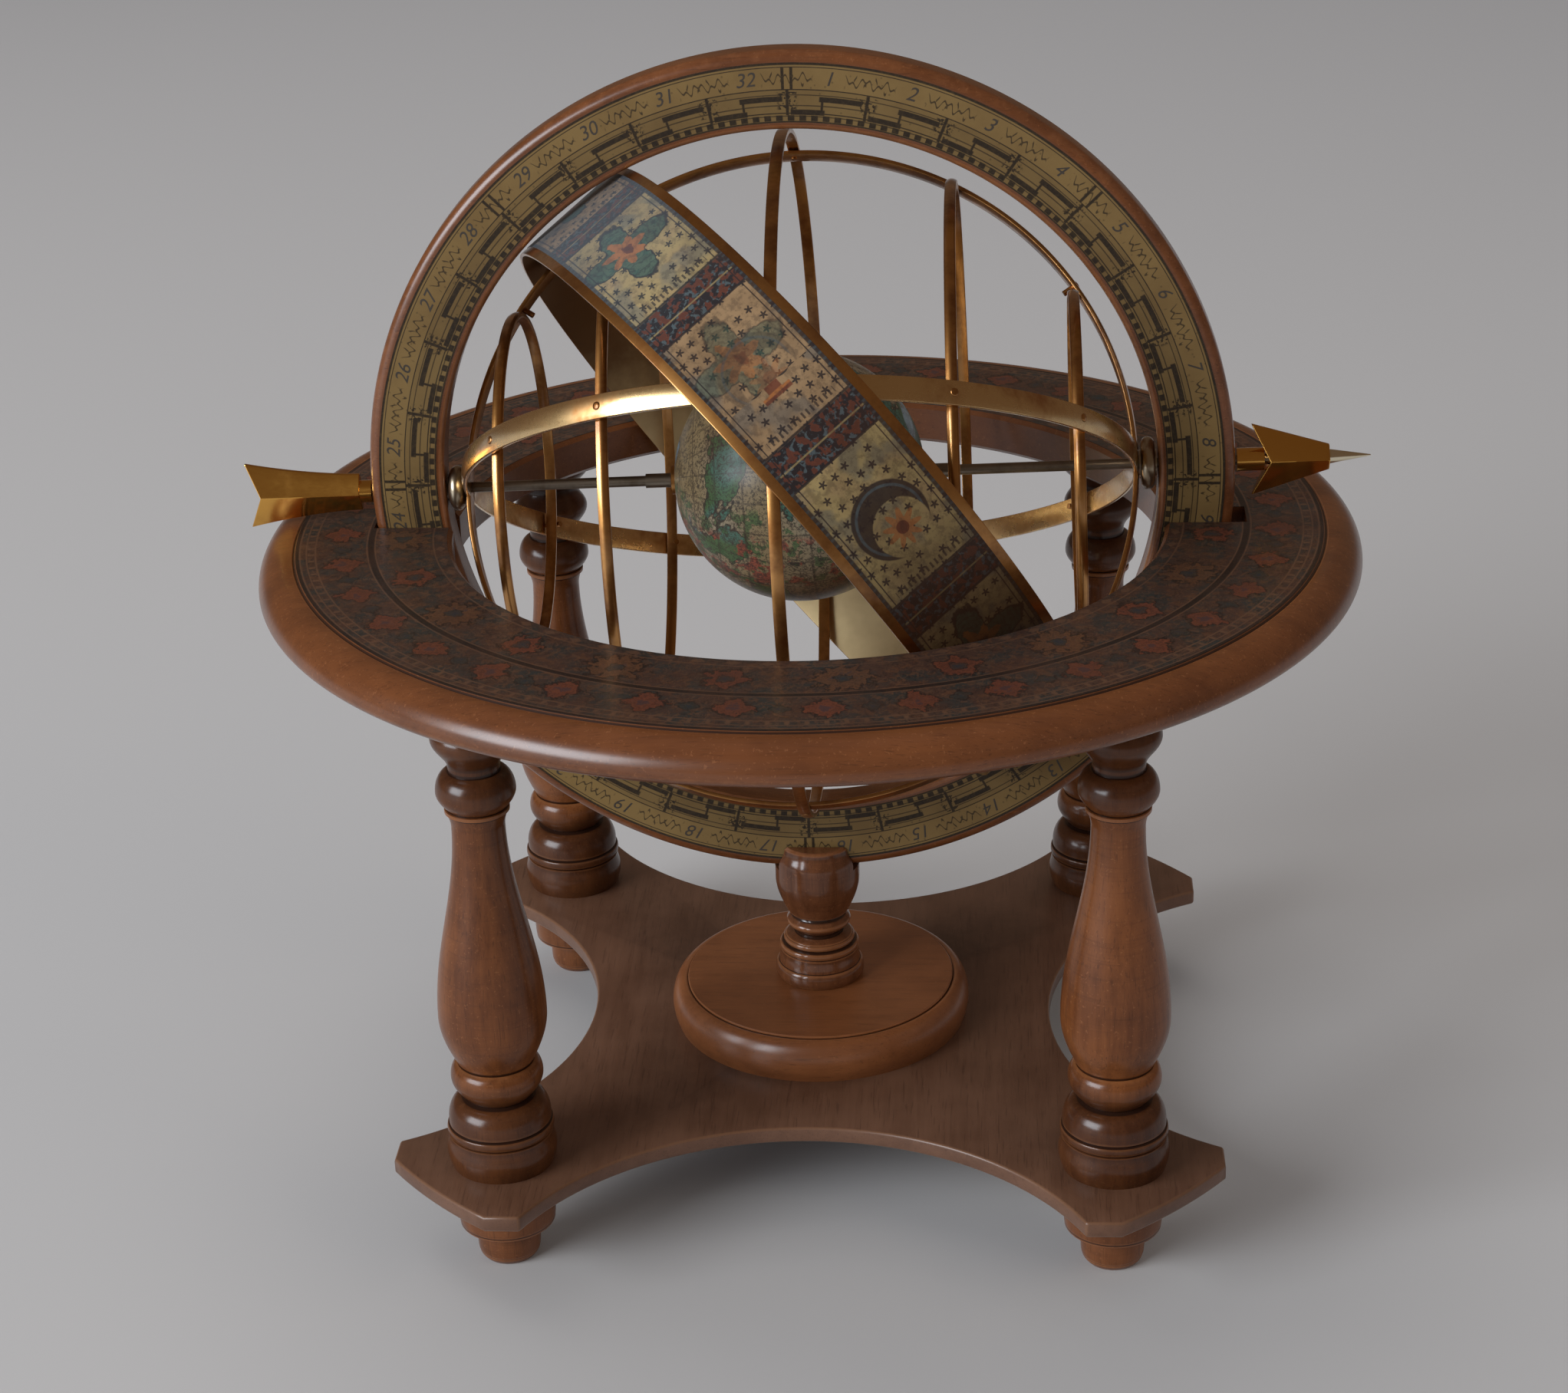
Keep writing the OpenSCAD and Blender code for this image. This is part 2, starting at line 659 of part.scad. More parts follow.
module arrow_tail() {
    color(brass) on_axis() difference() {
        mirror([1, 0, 0])
            arrow_part(tail_root, tail_reach, 0, tail_notch, tail_root_half, tail_half, tail_flare);
        along_rod(LEFT) tube(tail_root - over, tail_root + rod_in_tail, rod_r, 0);
    }
}

module tail_collar() {
    color(brass) on_axis() along_rod(LEFT)
        tube(meridian_r + collar_gap, tail_root, collar_r, rod_r);
}

module arrow_head() {
    color(brass) on_axis() difference() {
        arrow_part(head_at, head_front, head_notch, 0, head_half, head_front_half, 1);
        along_rod(RIGHT) tube(head_at - over, head_back + rod_in_head, rod_r, 0);
        along_rod(RIGHT)
            tube(head_front - needle_in, head_front + over, needle_r - needle_step, 0);
    }
}

module head_collar() {
    color(brass) on_axis() along_rod(RIGHT)
        tube(meridian_r + collar_gap, head_seat, collar_r, rod_r);
}

module arrow_needle() {
    color(steel) on_axis() along_rod(RIGHT) union() {
        tube(head_front - needle_in + needle_space, head_front, needle_r - needle_step, 0);
        translate([0, 0, head_front]) cylinder(h = needle_l, r1 = needle_r, r2 = needle_tip_r);
    }
}

// Width of a bead or spool between the sphere's pole and the upright ring, and its root's share
pole_w = meridian_in - pole_gap - cage_out;
bead_root = 0.45;
spool_root = 0.5;

module pole_bead_left() {
    color(brass) on_axis() along_rod(LEFT) difference() {
        translate([0, 0, cage_out]) rotate_extrude() polygon(concat(
            [[0, 0]], bead(0, pole_w, bead_r * bead_root, bead_r * (1 - bead_root)), [[0, pole_w]]));
        tube(cage_out - over, meridian_in, rod_r, 0);
    }
}

module pole_spool_right() {
    rim = pole_w / 2 - edge_break;
    root = spool_r * spool_root;
    color(brass) on_axis() along_rod(RIGHT) difference() {
        translate([0, 0, cage_out]) rotate_extrude() polygon(concat(
            [[0, 0], [root, 0], [root, edge_break]],
            bead(edge_break, pole_w - edge_break, spool_r - rim, rim),
            [[root, pole_w - edge_break], [root, pole_w], [0, pole_w]]));
        tube(cage_out - over, meridian_in, rod_r, 0);
    }
}

// A main hoop in the plane of the rod. The two are halved into each other at the poles:
// layer 1 keeps its outer half there, and layer 0 its inner half.
module main_hoop(turn, layer) {
    r_cut = layer == 1 ? cage_mid + lap_gap / 2 : cage_out + over;
    r_keep = layer == 1 ? cage_in - over : cage_mid - lap_gap / 2;
    color(brass) on_axis() rotate([turn, 0, 0]) difference() {
        hoop(cage_out, cage_in, colure_w);
        intersection() {
            hoop(r_cut, r_keep, colure_w + 2 * over);
            cube([3 * cage_out, colure_w + 2 * lap_gap, colure_w + 4 * over], center = true);
        }
        rotate([0, 90, 0]) tube(-cage_out - over, cage_out + over, rod_r, 0);
    }
}

module equator_hoop() {
    color(brass) on_axis() rotate([0, 90, 0]) hoop(equator_out, cage_out, equator_w);
}

// A small hoop about the rod whose outer edge just fits inside the two main hoops.
module small_hoop(side, angle) {
    out = cage_in * cos(angle);
    color(brass) on_axis() along_rod(side) translate([0, 0, cage_in * sin(angle) - circle_w / 2])
        hoop(out, out - circle_t, circle_w);
}

// Turns children so that their +Z is the broad band's own axis.
module on_zodiac() {
    on_axis() rotate([cage_turn, 0, 0]) rotate([0, 0, zodiac_tilt]) rotate([0, 90, 0]) children();
}

module zodiac_band() {
    color(brass) on_zodiac() hoop(zodiac_out, zodiac_in, zodiac_w);
}

module zodiac_scale() {
    color(tan_paper) on_zodiac() hoop(zodiac_out + paper_t, zodiac_out, zodiac_w - 2 * zodiac_margin);
}

// A rivet along +X, with a head outside when head is 1.
module rivet(r_in, r_out, head) {
    rotate([0, 90, 0]) rotate_extrude() polygon(head == 1
        ? [[0, r_in], [rivet_r, r_in], [rivet_r, r_out], [rivet_head_r, r_out],
            [rivet_head_r * rivet_crown, r_out + rivet_head_h], [0, r_out + rivet_head_h]]
        : [[0, r_in], [rivet_r, r_in], [rivet_r, r_out], [0, r_out]]);
}

// Angle from the rod to the middle of a small hoop, where it meets a main hoop
function crossing_angle(angle) = acos(sin(angle) - circle_w / 2 / cage_in);

module hoop_rivets() {
    color(brass) on_axis() for (quarter = [0:3]) rotate([cage_turn + 90 * quarter, 0, 0]) {
        for (angle = [tropic_angle, polar_angle], a = [crossing_angle(angle), 180 - crossing_angle(angle)])
            rotate([0, 0, a]) rivet(rivet_inner, cage_out, 1);
        if (quarter % 2 == 0) rotate([0, 0, 90]) rivet(cage_in - rivet_proud, equator_out, 1);
        if (quarter % 2 == 0) rotate([0, 0, 90 + zodiac_tilt])
            rivet(cage_in - rivet_proud, zodiac_out - rivet_set_in, 0);
        if (quarter % 2 == 1) rotate([0, 0, 90])
            rivet(cage_in - rivet_proud, zodiac_out - rivet_set_in, 0);
    }
}

module globe_sleeve(side) {
    color(steel) on_axis() along_rod(side)
        tube(globe_end + globe_gap, globe_end + globe_gap + sleeve_l, sleeve_r, rod_r);
}

module little_globe() {
    color(map_paper) on_axis() difference() {
        sphere(globe_r);
        sphere(globe_r - globe_wall);
        rotate([0, 90, 0]) tube(-globe_r - over, globe_r + over, globe_bush_r, 0);
        for (side = [LEFT, RIGHT]) along_rod(side)
            tube(globe_end - globe_flange_t, globe_r + over, globe_flange_r, 0);
    }
}

module globe_bush(side) {
    color(brass) on_axis() along_rod(side) difference() {
        union() {
            tube(globe_end - globe_flange_t - globe_bush_l, globe_end, globe_bush_r, 0);
            tube(globe_end - globe_flange_t, globe_end, globe_flange_r, 0);
        }
        tube(0, globe_r + 2 * globe_flange_t + over, rod_r + rod_gap, 0);
    }
}

foot(LEFT, FRONT);  // foot_front_left
foot(RIGHT, FRONT);  // foot_front_right
foot(LEFT, BACK);  // foot_back_left
foot(RIGHT, BACK);  // foot_back_right
base_plate();
leg(LEFT, FRONT);  // leg_front_left
leg(RIGHT, FRONT);  // leg_front_right
leg(LEFT, BACK);  // leg_back_left
leg(RIGHT, BACK);  // leg_back_right
lower_dowels();
upper_dowels();
pedestal_disc();
pedestal_column();
pedestal_screw();
horizon_ring();
horizon_scale();
meridian_ring();
meridian_scale(FRONT);  // meridian_scale_front
meridian_scale(BACK);  // meridian_scale_back
rod_bush(LEFT);  // rod_bush_left
rod_bush(RIGHT);  // rod_bush_right
axis_rod();
arrow_tail();
tail_collar();
arrow_head();
head_collar();
arrow_needle();
pole_bead_left();
pole_spool_right();
main_hoop(cage_turn + 90, 1);  // colure_hoop
main_hoop(cage_turn, 0);  // solstice_hoop
equator_hoop();
small_hoop(LEFT, tropic_angle);  // tropic_hoop_left
small_hoop(RIGHT, tropic_angle);  // tropic_hoop_right
small_hoop(LEFT, polar_angle);  // polar_hoop_left
small_hoop(RIGHT, polar_angle);  // polar_hoop_right
zodiac_band();
zodiac_scale();
hoop_rivets();
globe_sleeve(LEFT);  // globe_sleeve_left
globe_sleeve(RIGHT);  // globe_sleeve_right
little_globe();
globe_bush(LEFT);  // globe_bush_left
globe_bush(RIGHT);  // globe_bush_right
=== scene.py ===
"""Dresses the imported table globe: turned wood, varnished prints, aged brass and a little globe.

Sizes are millimetres and become metres where meshes are made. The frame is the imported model's:
+Z up, +Y away from the viewer, and the origin on the table under the middle of the stand.
"""
import json
import logging
import math
from dataclasses import dataclass
from enum import Enum
from typing import Callable, Sequence, Union

import bmesh
import bpy
from mathutils import Matrix, Vector


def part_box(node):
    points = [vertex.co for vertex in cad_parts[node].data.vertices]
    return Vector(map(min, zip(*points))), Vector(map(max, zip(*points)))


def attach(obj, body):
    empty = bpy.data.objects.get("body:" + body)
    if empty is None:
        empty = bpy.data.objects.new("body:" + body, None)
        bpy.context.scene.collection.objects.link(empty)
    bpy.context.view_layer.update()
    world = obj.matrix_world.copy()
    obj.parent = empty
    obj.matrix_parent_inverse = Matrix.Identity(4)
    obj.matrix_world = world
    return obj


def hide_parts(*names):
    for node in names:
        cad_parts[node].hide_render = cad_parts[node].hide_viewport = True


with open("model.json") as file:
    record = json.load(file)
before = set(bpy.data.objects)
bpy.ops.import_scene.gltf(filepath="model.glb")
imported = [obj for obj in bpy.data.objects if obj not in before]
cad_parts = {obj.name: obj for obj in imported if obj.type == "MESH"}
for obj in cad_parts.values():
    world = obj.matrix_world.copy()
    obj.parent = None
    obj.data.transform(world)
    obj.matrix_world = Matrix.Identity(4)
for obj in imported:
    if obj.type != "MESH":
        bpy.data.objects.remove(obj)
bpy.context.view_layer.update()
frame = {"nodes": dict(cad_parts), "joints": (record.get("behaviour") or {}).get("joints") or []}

MM = 0.001
ON_AXIS = 1e-6
OVERCUT = 1.0
LOG = logging.getLogger("table_globe")

Point = tuple[float, float]
Colour = tuple[float, float, float]
Form = bmesh.types.BMesh
Piece = bpy.types.Object
Material = bpy.types.Material
Tree = bpy.types.NodeTree
Node = bpy.types.Node
Socket = bpy.types.NodeSocket


class Body(Enum):
    """The bodies that pieces ride on."""

    STAND = "stand"
    MERIDIAN = "meridian"
    SPHERE = "sphere"
    GLOBE = "globe"


class Slot(Enum):
    """The record's material slots."""

    STAINED_WOOD = "stained_wood"
    DARK_WOOD = "dark_wood"
    MERIDIAN_PRINT = "meridian_print"
    AGED_BRASS = "aged_brass"
    GLOBE_MAP = "globe_map"


class Bend(Enum):
    """How a turned outline goes from one point to the next."""

    SWELL = "swell"
    COVE = "cove"
    SWAY = "sway"
    SHOULDER = "shoulder"
    HEEL = "heel"


class Grain(Enum):
    """The direction that the wood's grain runs in."""

    UP = "up"
    ACROSS = "across"
    DEPTH = "depth"


class Corner(Enum):
    """The four corners of the stand."""

    FRONT_LEFT = "front_left"
    FRONT_RIGHT = "front_right"
    BACK_LEFT = "back_left"
    BACK_RIGHT = "back_right"


def node_middle(name: str) -> Vector:
    """Returns the middle of a CAD node's box, in millimetres."""
    low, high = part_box(name)
    return (low + high) / 2 / MM


def node_size(name: str) -> Vector:
    """Returns the size of a CAD node's box, in millimetres."""
    low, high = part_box(name)
    return (high - low) / MM


def rod_place() -> Matrix:
    """Finds the sphere's own place from its joint.

    Returns:
        A matrix in millimetres whose +X runs along the rod to the arrowhead and +Y away from the viewer.
    """
    joint = next(j for j in frame["joints"] if j["name"] == "sphere_spin")
    along = Vector(joint["axis"]).normalized()
    away = Vector((0.0, 1.0, 0.0))
    place = Matrix((along, away, along.cross(away))).transposed().to_4x4()
    place.translation = Vector(joint["pos_m"]) / MM
    return place


ROD = rod_place()
SIDEWAYS = Matrix.Rotation(math.radians(90), 4, "Y")
UPRIGHT = Matrix.Rotation(math.radians(90), 4, "X")


@dataclass
class Outline:
    """A turned outline in millimetres, drawn from point to point as radius and height."""

    points: list[Point]
    steps: int = 12

    def to(self, radius: float, height: float) -> "Outline":
        """Adds a straight line to a point and returns the outline."""
        self.points.append((radius, height))
        return self

    def bend(self, kind: Bend, radius: float, height: float, steps: int = 0) -> "Outline":
        """Adds a curve to a point.

        Args:
            kind: The form of the curve.
            radius: Radius at its end.
            height: Height at its end.
            steps: Number of steps, if not the outline's own.

        Returns:
            The same outline.
        """
        r0, z0 = self.points[-1]
        steps = steps or self.steps
        for i in range(1, steps + 1):
            t = i / steps
            sine, rest = math.sin(math.pi / 2 * t), 1 - math.cos(math.pi / 2 * t)
            share, rise = {Bend.SWELL: (sine, t), Bend.COVE: (rest, t), Bend.SHOULDER: (rest, sine),
                           Bend.HEEL: (sine, rest), Bend.SWAY: ((1 - math.cos(math.pi * t)) / 2, t)}[kind]
            self.to(r0 + (radius - r0) * share, z0 + (height - z0) * rise)
        return self

    def bead(self, out: float, height: float) -> "Outline":
        """Adds a half-round bead.

        Args:
            out: How far it stands out from the last point.
            height: Height at its end.

        Returns:
            The same outline.
        """
        r0, z0 = self.points[-1]
        middle = (z0 + height) / 2
        for i in range(1, self.steps + 1):
            turn = math.radians(180 * i / self.steps)
            self.to(r0 + out * math.sin(turn), middle - (height - z0) / 2 * math.cos(turn))
        return self

    def arc(self, middle: Point, radius: float, start: float, end: float) -> "Outline":
        """Adds an arc of a circle.

        Args:
            middle: Centre of the circle.
            radius: Its radius.
            start: The angle it starts at, in degrees.
            end: The angle it ends at, in degrees.

        Returns:
            The same outline.
        """
        for i in range(self.steps + 1):
            turn = math.radians(start + (end - start) * i / self.steps)
            self.to(middle[0] + radius * math.cos(turn), middle[1] + radius * math.sin(turn))
        return self

    def corners(self, inner: float, outer: float, half: float, inner_round: float,
                outer_round: float) -> "Outline":
        """Adds the four rounded corners of a ring's section.

        Args:
            inner: Inner radius of the ring.
            outer: Outer radius of the ring.
            half: Half its width.
            inner_round: Radius of the two inner corners.
            outer_round: Radius of the two outer corners.

        Returns:
            The same outline.
        """
        out, inward = outer - outer_round, inner + inner_round
        self.arc((out, half - outer_round), outer_round, 0, 90)
        self.arc((inward, half - inner_round), inner_round, 90, 180)
        self.arc((inward, inner_round - half), inner_round, 180, 270)
        return self.arc((out, outer_round - half), outer_round, 270, 360)


def strip_section(inner: float, outer: float, width: float, rounding: float, dome: float = 0.0) -> list[Point]:
    """Gives the section of a metal strip with rounded corners.

    Args:
        inner: Inner radius of the hoop.
        outer: Outer radius of the hoop.
        width: Width of the strip.
        rounding: Radius of its four corners.
        dome: How far the outer face falls away at its edges.

    Returns:
        The closed section, as radius and height.
    """
    high = width / 2 - rounding
    section = Outline([], steps=3)
    for rise in (-0.75, -0.5, -0.25, 0.0, 0.25, 0.5, 0.75):
        section.to(outer - dome * rise * rise, high * rise)
    return section.corners(inner, outer - dome, width / 2, rounding, rounding).points


def revolve(points: Sequence[Point], closed: bool, segments: int = 128,
            place: Matrix = Matrix.Identity(4)) -> Form:
    """Turns an outline about +Z.

    Args:
        points: The outline, as radius and height in millimetres.
        closed: Whether the last point joins the first, as in a ring's section.
        segments: Number of steps round the axis.
        place: Where the turned form goes, in millimetres.

    Returns:
        The new mesh, in metres.
    """
    form = bmesh.new()
    rings = []
    for radius, height in points:
        if radius < ON_AXIS:
            rings.append([form.verts.new(place @ Vector((0, 0, height)) * MM)])
            continue
        ring = []
        for i in range(segments):
            turn = 2 * math.pi * i / segments
            at = Vector((radius * math.cos(turn), radius * math.sin(turn), height))
            ring.append(form.verts.new(place @ at * MM))
        rings.append(ring)
    pairs = list(zip(rings, rings[1:]))
    if closed:
        pairs.append((rings[-1], rings[0]))
    for low, high in pairs:
        for i in range(segments):
            j = (i + 1) % segments
            if len(low) == 1:
                form.faces.new((low[0], high[j], high[i]))
            elif len(high) == 1:
                form.faces.new((low[i], low[j], high[0]))
            else:
                form.faces.new((low[i], low[j], high[j], high[i]))
    bmesh.ops.recalc_face_normals(form, faces=form.faces)
    return form


def mark_wear(form: Form, sharp: float = 1.0, closest: float = 0.05) -> None:
    """Writes how sharply the surface bends, for dirt and painted shade in grooves and for rubbed edges.

    Args:
        form: The mesh, in metres.
        sharp: The radius of a bend that counts in full, in millimetres.
        closest: The least distance between faces that counts, in millimetres.
    """
    layer = form.verts.layers.float.new("wear")
    bends = {}
    for edge in form.edges:
        if len(edge.link_faces) != 2:
            continue
        one, two = edge.link_faces
        apart = (one.calc_center_median() - two.calc_center_median()).length
        bends[edge] = edge.calc_face_angle_signed(0.0) / max(apart, closest * MM) * sharp * MM
    for vert in form.verts:
        values = [bends[edge] for edge in vert.link_edges if edge in bends]
        vert[layer] = max(-1.0, min(1.0, max(values, key=abs))) if values else 0.0


def to_mesh(name: str, form: Form, angle: float) -> bpy.types.Mesh:
    """Finishes a mesh: wear, smooth shading and sharp edges.

    Args:
        name: Name of the mesh.
        form: The mesh, which is freed.
        angle: Edges that bend more than this, in degrees, stay sharp.

    Returns:
        The finished mesh.
    """
    mark_wear(form)
    mesh = bpy.data.meshes.new(name)
    form.to_mesh(mesh)
    form.free()
    mesh.shade_smooth()
    mesh.set_sharp_from_angle(angle=math.radians(angle))
    return mesh


def box_form(one: Vector, other: Vector) -> Form:
    """Makes a box that cuts a notch or a slot, in metres, from two opposite corners in millimetres."""
    form = bmesh.new()
    bmesh.ops.create_cube(form, size=1.0)
    sides = [abs(side) * MM for side in other - one]
    form.transform(Matrix.Translation((one + other) / 2 * MM) @ Matrix.Diagonal((*sides, 1.0)))
    return form


def carve(form: Form, cutters: Sequence[Form]) -> Form:
    """Cuts forms out of a form.

    Args:
        form: The mesh to cut, which is freed.
        cutters: The meshes to take away, which are freed.

    Returns:
        The cut mesh.
    """
    scene = bpy.context.scene
    made = []
    for shape in (form, *cutters):
        mesh = bpy.data.meshes.new("carving")
        shape.to_mesh(mesh)
        shape.free()
        obj = bpy.data.objects.new("carving", mesh)
        scene.collection.objects.link(obj)
        made.append(obj)
    body = made[0]
    for cutter in made[1:]:
        cut = body.modifiers.new("cut", "BOOLEAN")
        cut.operation = "DIFFERENCE"
        cut.solver = "EXACT"
        cut.object = cutter
    cut_form = bmesh.new()
    cut_form.from_object(body, bpy.context.evaluated_depsgraph_get())
    for obj in made:
        mesh = obj.data
        bpy.data.objects.remove(obj)
        bpy.data.meshes.remove(mesh)
    return cut_form


def soften(form: Form, width: float, angle: float = 40.0, segments: int = 2) -> None:
    """Rounds the sharp edges of a form.

    Args:
        form: The mesh, in metres.
        width: Width of the rounding, in millimetres.
        angle: Edges that bend more than this are rounded, in degrees.
        segments: Number of faces across the rounding.
    """
    limit = math.radians(angle)
    edges = [e for e in form.edges if len(e.link_faces) == 2 and e.calc_face_angle(0.0) > limit]
    bmesh.ops.bevel(form, geom=edges, offset=width * MM, segments=segments, profile=0.5,
                    affect="EDGES", clamp_overlap=True)


def set_up(name: str, form: Form, body: Body, finish: Material,
           stands_for: str = "", angle: float = 35.0) -> Piece:
    """Makes a piece from a form and lets it ride on its body.

    Args:
        name: Name of the piece.
        form: Its form, in metres, in the row frame, which is freed.
        body: The body that it moves with.
        finish: Its material.
        stands_for: The CAD node that it replaces, if any.
        angle: Edges that bend more than this, in degrees, stay sharp.

    Returns:
        The new piece.
    """
    mesh = to_mesh(name, form, angle)
    mesh.materials.append(finish)
    piece = bpy.data.objects.new(name, mesh)
    bpy.context.scene.collection.objects.link(piece)
    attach(piece, body.value)
    if stands_for:
        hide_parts(stands_for)
    return piece


def turned_corners(kind: str, outline: Callable[[float], Outline], segments: int,
                   finish: Material) -> None:
    """Builds a turned piece in each corner of the stand.

    Args:
        kind: The word that the CAD nodes' names begin with.
        outline: Gives the outline for a height in millimetres.
        segments: Number of steps round a piece.
        finish: Its material.
    """
    for corner in Corner:
        node = f"{kind}_{corner.value}"
        low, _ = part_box(node)
        place = Matrix.Translation(Vector((*node_middle(node).xy, low.z / MM)))
        form = revolve(outline(node_size(node).z).points, False, segments, place)
        set_up(f"turned_{node}", form, Body.STAND, finish, node)


def dress(finish: Material, *names: str) -> None:
    """Gives CAD nodes that stay in view their material."""
    for name in names:
        mesh = frame["nodes"][name].data
        mesh.materials.clear()
        mesh.materials.append(finish)


@dataclass(frozen=True)
class Ink:
    """One output of a node tree, with arithmetic that adds Math nodes."""

    sheet: "Sheet"
    socket: Socket

    def __add__(self, other: "Value") -> "Ink":
        """Returns the sum."""
        return self.sheet.math("ADD", self, other)

    def __sub__(self, other: "Value") -> "Ink":
        """Returns the difference."""
        return self.sheet.math("SUBTRACT", self, other)

    def __rsub__(self, other: "Value") -> "Ink":
        """Returns the difference."""
        return self.sheet.math("SUBTRACT", other, self)

    def __mul__(self, other: "Value") -> "Ink":
        """Returns the product."""
        return self.sheet.math("MULTIPLY", self, other)

    def __truediv__(self, other: "Value") -> "Ink":
        """Returns the quotient."""
        return self.sheet.math("DIVIDE", self, other)


Value = Union[Ink, float]
Tint = Union[Ink, Colour]
Entry = Union[Ink, float, Sequence[float]]


@dataclass
class Sheet:
    """A node tree that is being drawn, of a material or of a group."""

    tree: Tree

    # Sockets of the Mix node when it mixes colours.
    MIX_SHARE, MIX_UNDER, MIX_OVER, MIX_RESULT = 0, 6, 7, 2

    def node(self, kind: str, **settings: object) -> Node:
        """Adds a node with these settings and returns it."""
        made = self.tree.nodes.new(kind)
        for name, value in settings.items():
            setattr(made, name, value)
        return made

    def feed(self, socket: Socket, value: Entry) -> None:
        """Links a value to a socket, or writes it there when it is a plain number or colour."""
        if isinstance(value, Ink):
            self.tree.links.new(value.socket, socket)
        elif isinstance(value, (int, float)):
            socket.default_value = value
        elif len(socket.default_value) == 4:
            socket.default_value = (*value, 1.0)
        else:
            socket.default_value = value

    def fill(self, made: Node, **values: Entry) -> Node:
        """Feeds a node's inputs, by name with _ for a space, and returns the node."""
        for name, value in values.items():
            self.feed(made.inputs[name.replace("_", " ")], value)
        return made

    def math(self, operation: str, *values: Value) -> Ink:
        """Adds a Math node and returns its result."""
        made = self.node("ShaderNodeMath", operation=operation)
        for socket, value in zip(made.inputs, values):
            self.feed(socket, value)
        return Ink(self, made.outputs[0])

    def fraction(self, value: Value) -> Ink:
        """Returns what is left over a whole number."""
        return self.math("FRACT", value)

    def size(self, value: Value) -> Ink:
        """Returns the value without its sign."""
        return self.math("ABSOLUTE", value)

    def either(self, *masks: Value) -> Ink:
        """Returns the largest of several masks."""
        result = masks[0]
        for mask in masks[1:]:
            result = self.math("MAXIMUM", result, mask)
        return result

    def length(self, x: Value, y: Value) -> Ink:
        """Returns the distance of a flat point from the origin."""
        return self.math("SQRT", x * x + y * y)

    def spread(self, value: Value, low: float, high: float, start: float = 0.0, end: float = 1.0) -> Ink:
        """Maps a value smoothly from one range to another.

        Args:
            value: The value.
            low: Value that gives start.
            high: Value that gives end.
            start: Result at low.
            end: Result at high.

        Returns:
            The mapped value, held within start and end.
        """
        made = self.node("ShaderNodeMapRange", interpolation_type="SMOOTHSTEP")
        self.fill(made, Value=value, From_Min=low, From_Max=high, To_Min=start, To_Max=end)
        return Ink(self, made.outputs["Result"])

    def below(self, value: Value, limit: float, soft: float) -> Ink:
        """Returns a mask that is 1 below a limit and 0 above it."""
        return self.spread(value, limit - soft, limit + soft, 1.0, 0.0)

    def above(self, value: Value, limit: float, soft: float) -> Ink:
        """Returns a mask that is 1 above a limit and 0 below it."""
        return self.spread(value, limit - soft, limit + soft)

    def between(self, value: Value, low: float, high: float, soft: float) -> Ink:
        """Returns a mask that is 1 from low to high."""
        return self.above(value, low, soft) * self.below(value, high, soft)

    def line(self, value: Value, at: float, half: float, soft: float) -> Ink:
        """Returns a mask of a line that is twice half wide."""
        return self.below(self.size(value - at), half, soft)

    def split(self, vector: Ink) -> tuple[Ink, Ink, Ink]:
        """Returns the three parts of a vector."""
        made = self.node("ShaderNodeSeparateXYZ")
        self.feed(made.inputs[0], vector)
        return tuple(Ink(self, socket) for socket in made.outputs)

    def join(self, x: Value, y: Value, z: Value) -> Ink:
        """Returns a vector of three parts."""
        made = self.node("ShaderNodeCombineXYZ")
        for socket, value in zip(made.inputs, (x, y, z)):
            self.feed(socket, value)
        return Ink(self, made.outputs[0])

    def place(self, within: Matrix = Matrix.Identity(4)) -> Ink:
        """Gives the surface's place in the object's own frame.

        Args:
            within: A place in millimetres; the result is measured in its frame.

        Returns:
            The place, in millimetres.
        """
        where = Ink(self, self.node("ShaderNodeTexCoord").outputs["Object"])
        made = self.node("ShaderNodeMapping", vector_type="TEXTURE")
        self.fill(made, Vector=where, Location=within.translation * MM, Rotation=within.to_euler(),
                  Scale=(MM, MM, MM))
        return Ink(self, made.outputs["Vector"])

    def noise(self, vector: Value, scale: float, detail: float = 3.0, rough: float = 0.55,
              twist: float = 0.0) -> Ink:
        """Returns cloudy noise from 0 to 1 at a scale in turns per millimetre."""
        made = self.node("ShaderNodeTexNoise")
        self.fill(made, Vector=vector, Scale=scale, Detail=detail, Roughness=rough, Distortion=twist)
        return Ink(self, made.outputs["Fac"])

    def cells(self, vector: Value, scale: float) -> Ink:
        """Returns the distance to the nearest of scattered points, in cells."""
        made = self.fill(self.node("ShaderNodeTexVoronoi"), Vector=vector, Scale=scale)
        return Ink(self, made.outputs["Distance"])

    def chance(self, value: Value) -> Ink:
        """Returns a steady number from 0 to 1 for each whole number."""
        made = self.node("ShaderNodeTexWhiteNoise", noise_dimensions="1D")
        self.feed(made.inputs["W"], value)
        return Ink(self, made.outputs["Value"])

    def wear(self) -> Ink:
        """Returns how sharply the surface bends, from -1 in a groove to 1 on an edge."""
        made = self.node("ShaderNodeAttribute", attribute_name="wear")
        return Ink(self, made.outputs["Fac"])

    def mix(self, share: Value, under: Tint, over: Tint) -> Ink:
        """Returns one colour laid over another by a share."""
        made = self.node("ShaderNodeMix", data_type="RGBA")
        self.feed(made.inputs[self.MIX_SHARE], share)
        self.feed(made.inputs[self.MIX_UNDER], under)
        self.feed(made.inputs[self.MIX_OVER], over)
        return Ink(self, made.outputs[self.MIX_RESULT])

    def layers(self, colour: Tint, *coats: tuple[Value, Tint]) -> Ink:
        """Returns a colour with coats over it in order, each a share and its colour."""
        for share, over in coats:
            colour = self.mix(share, colour, over)
        return colour

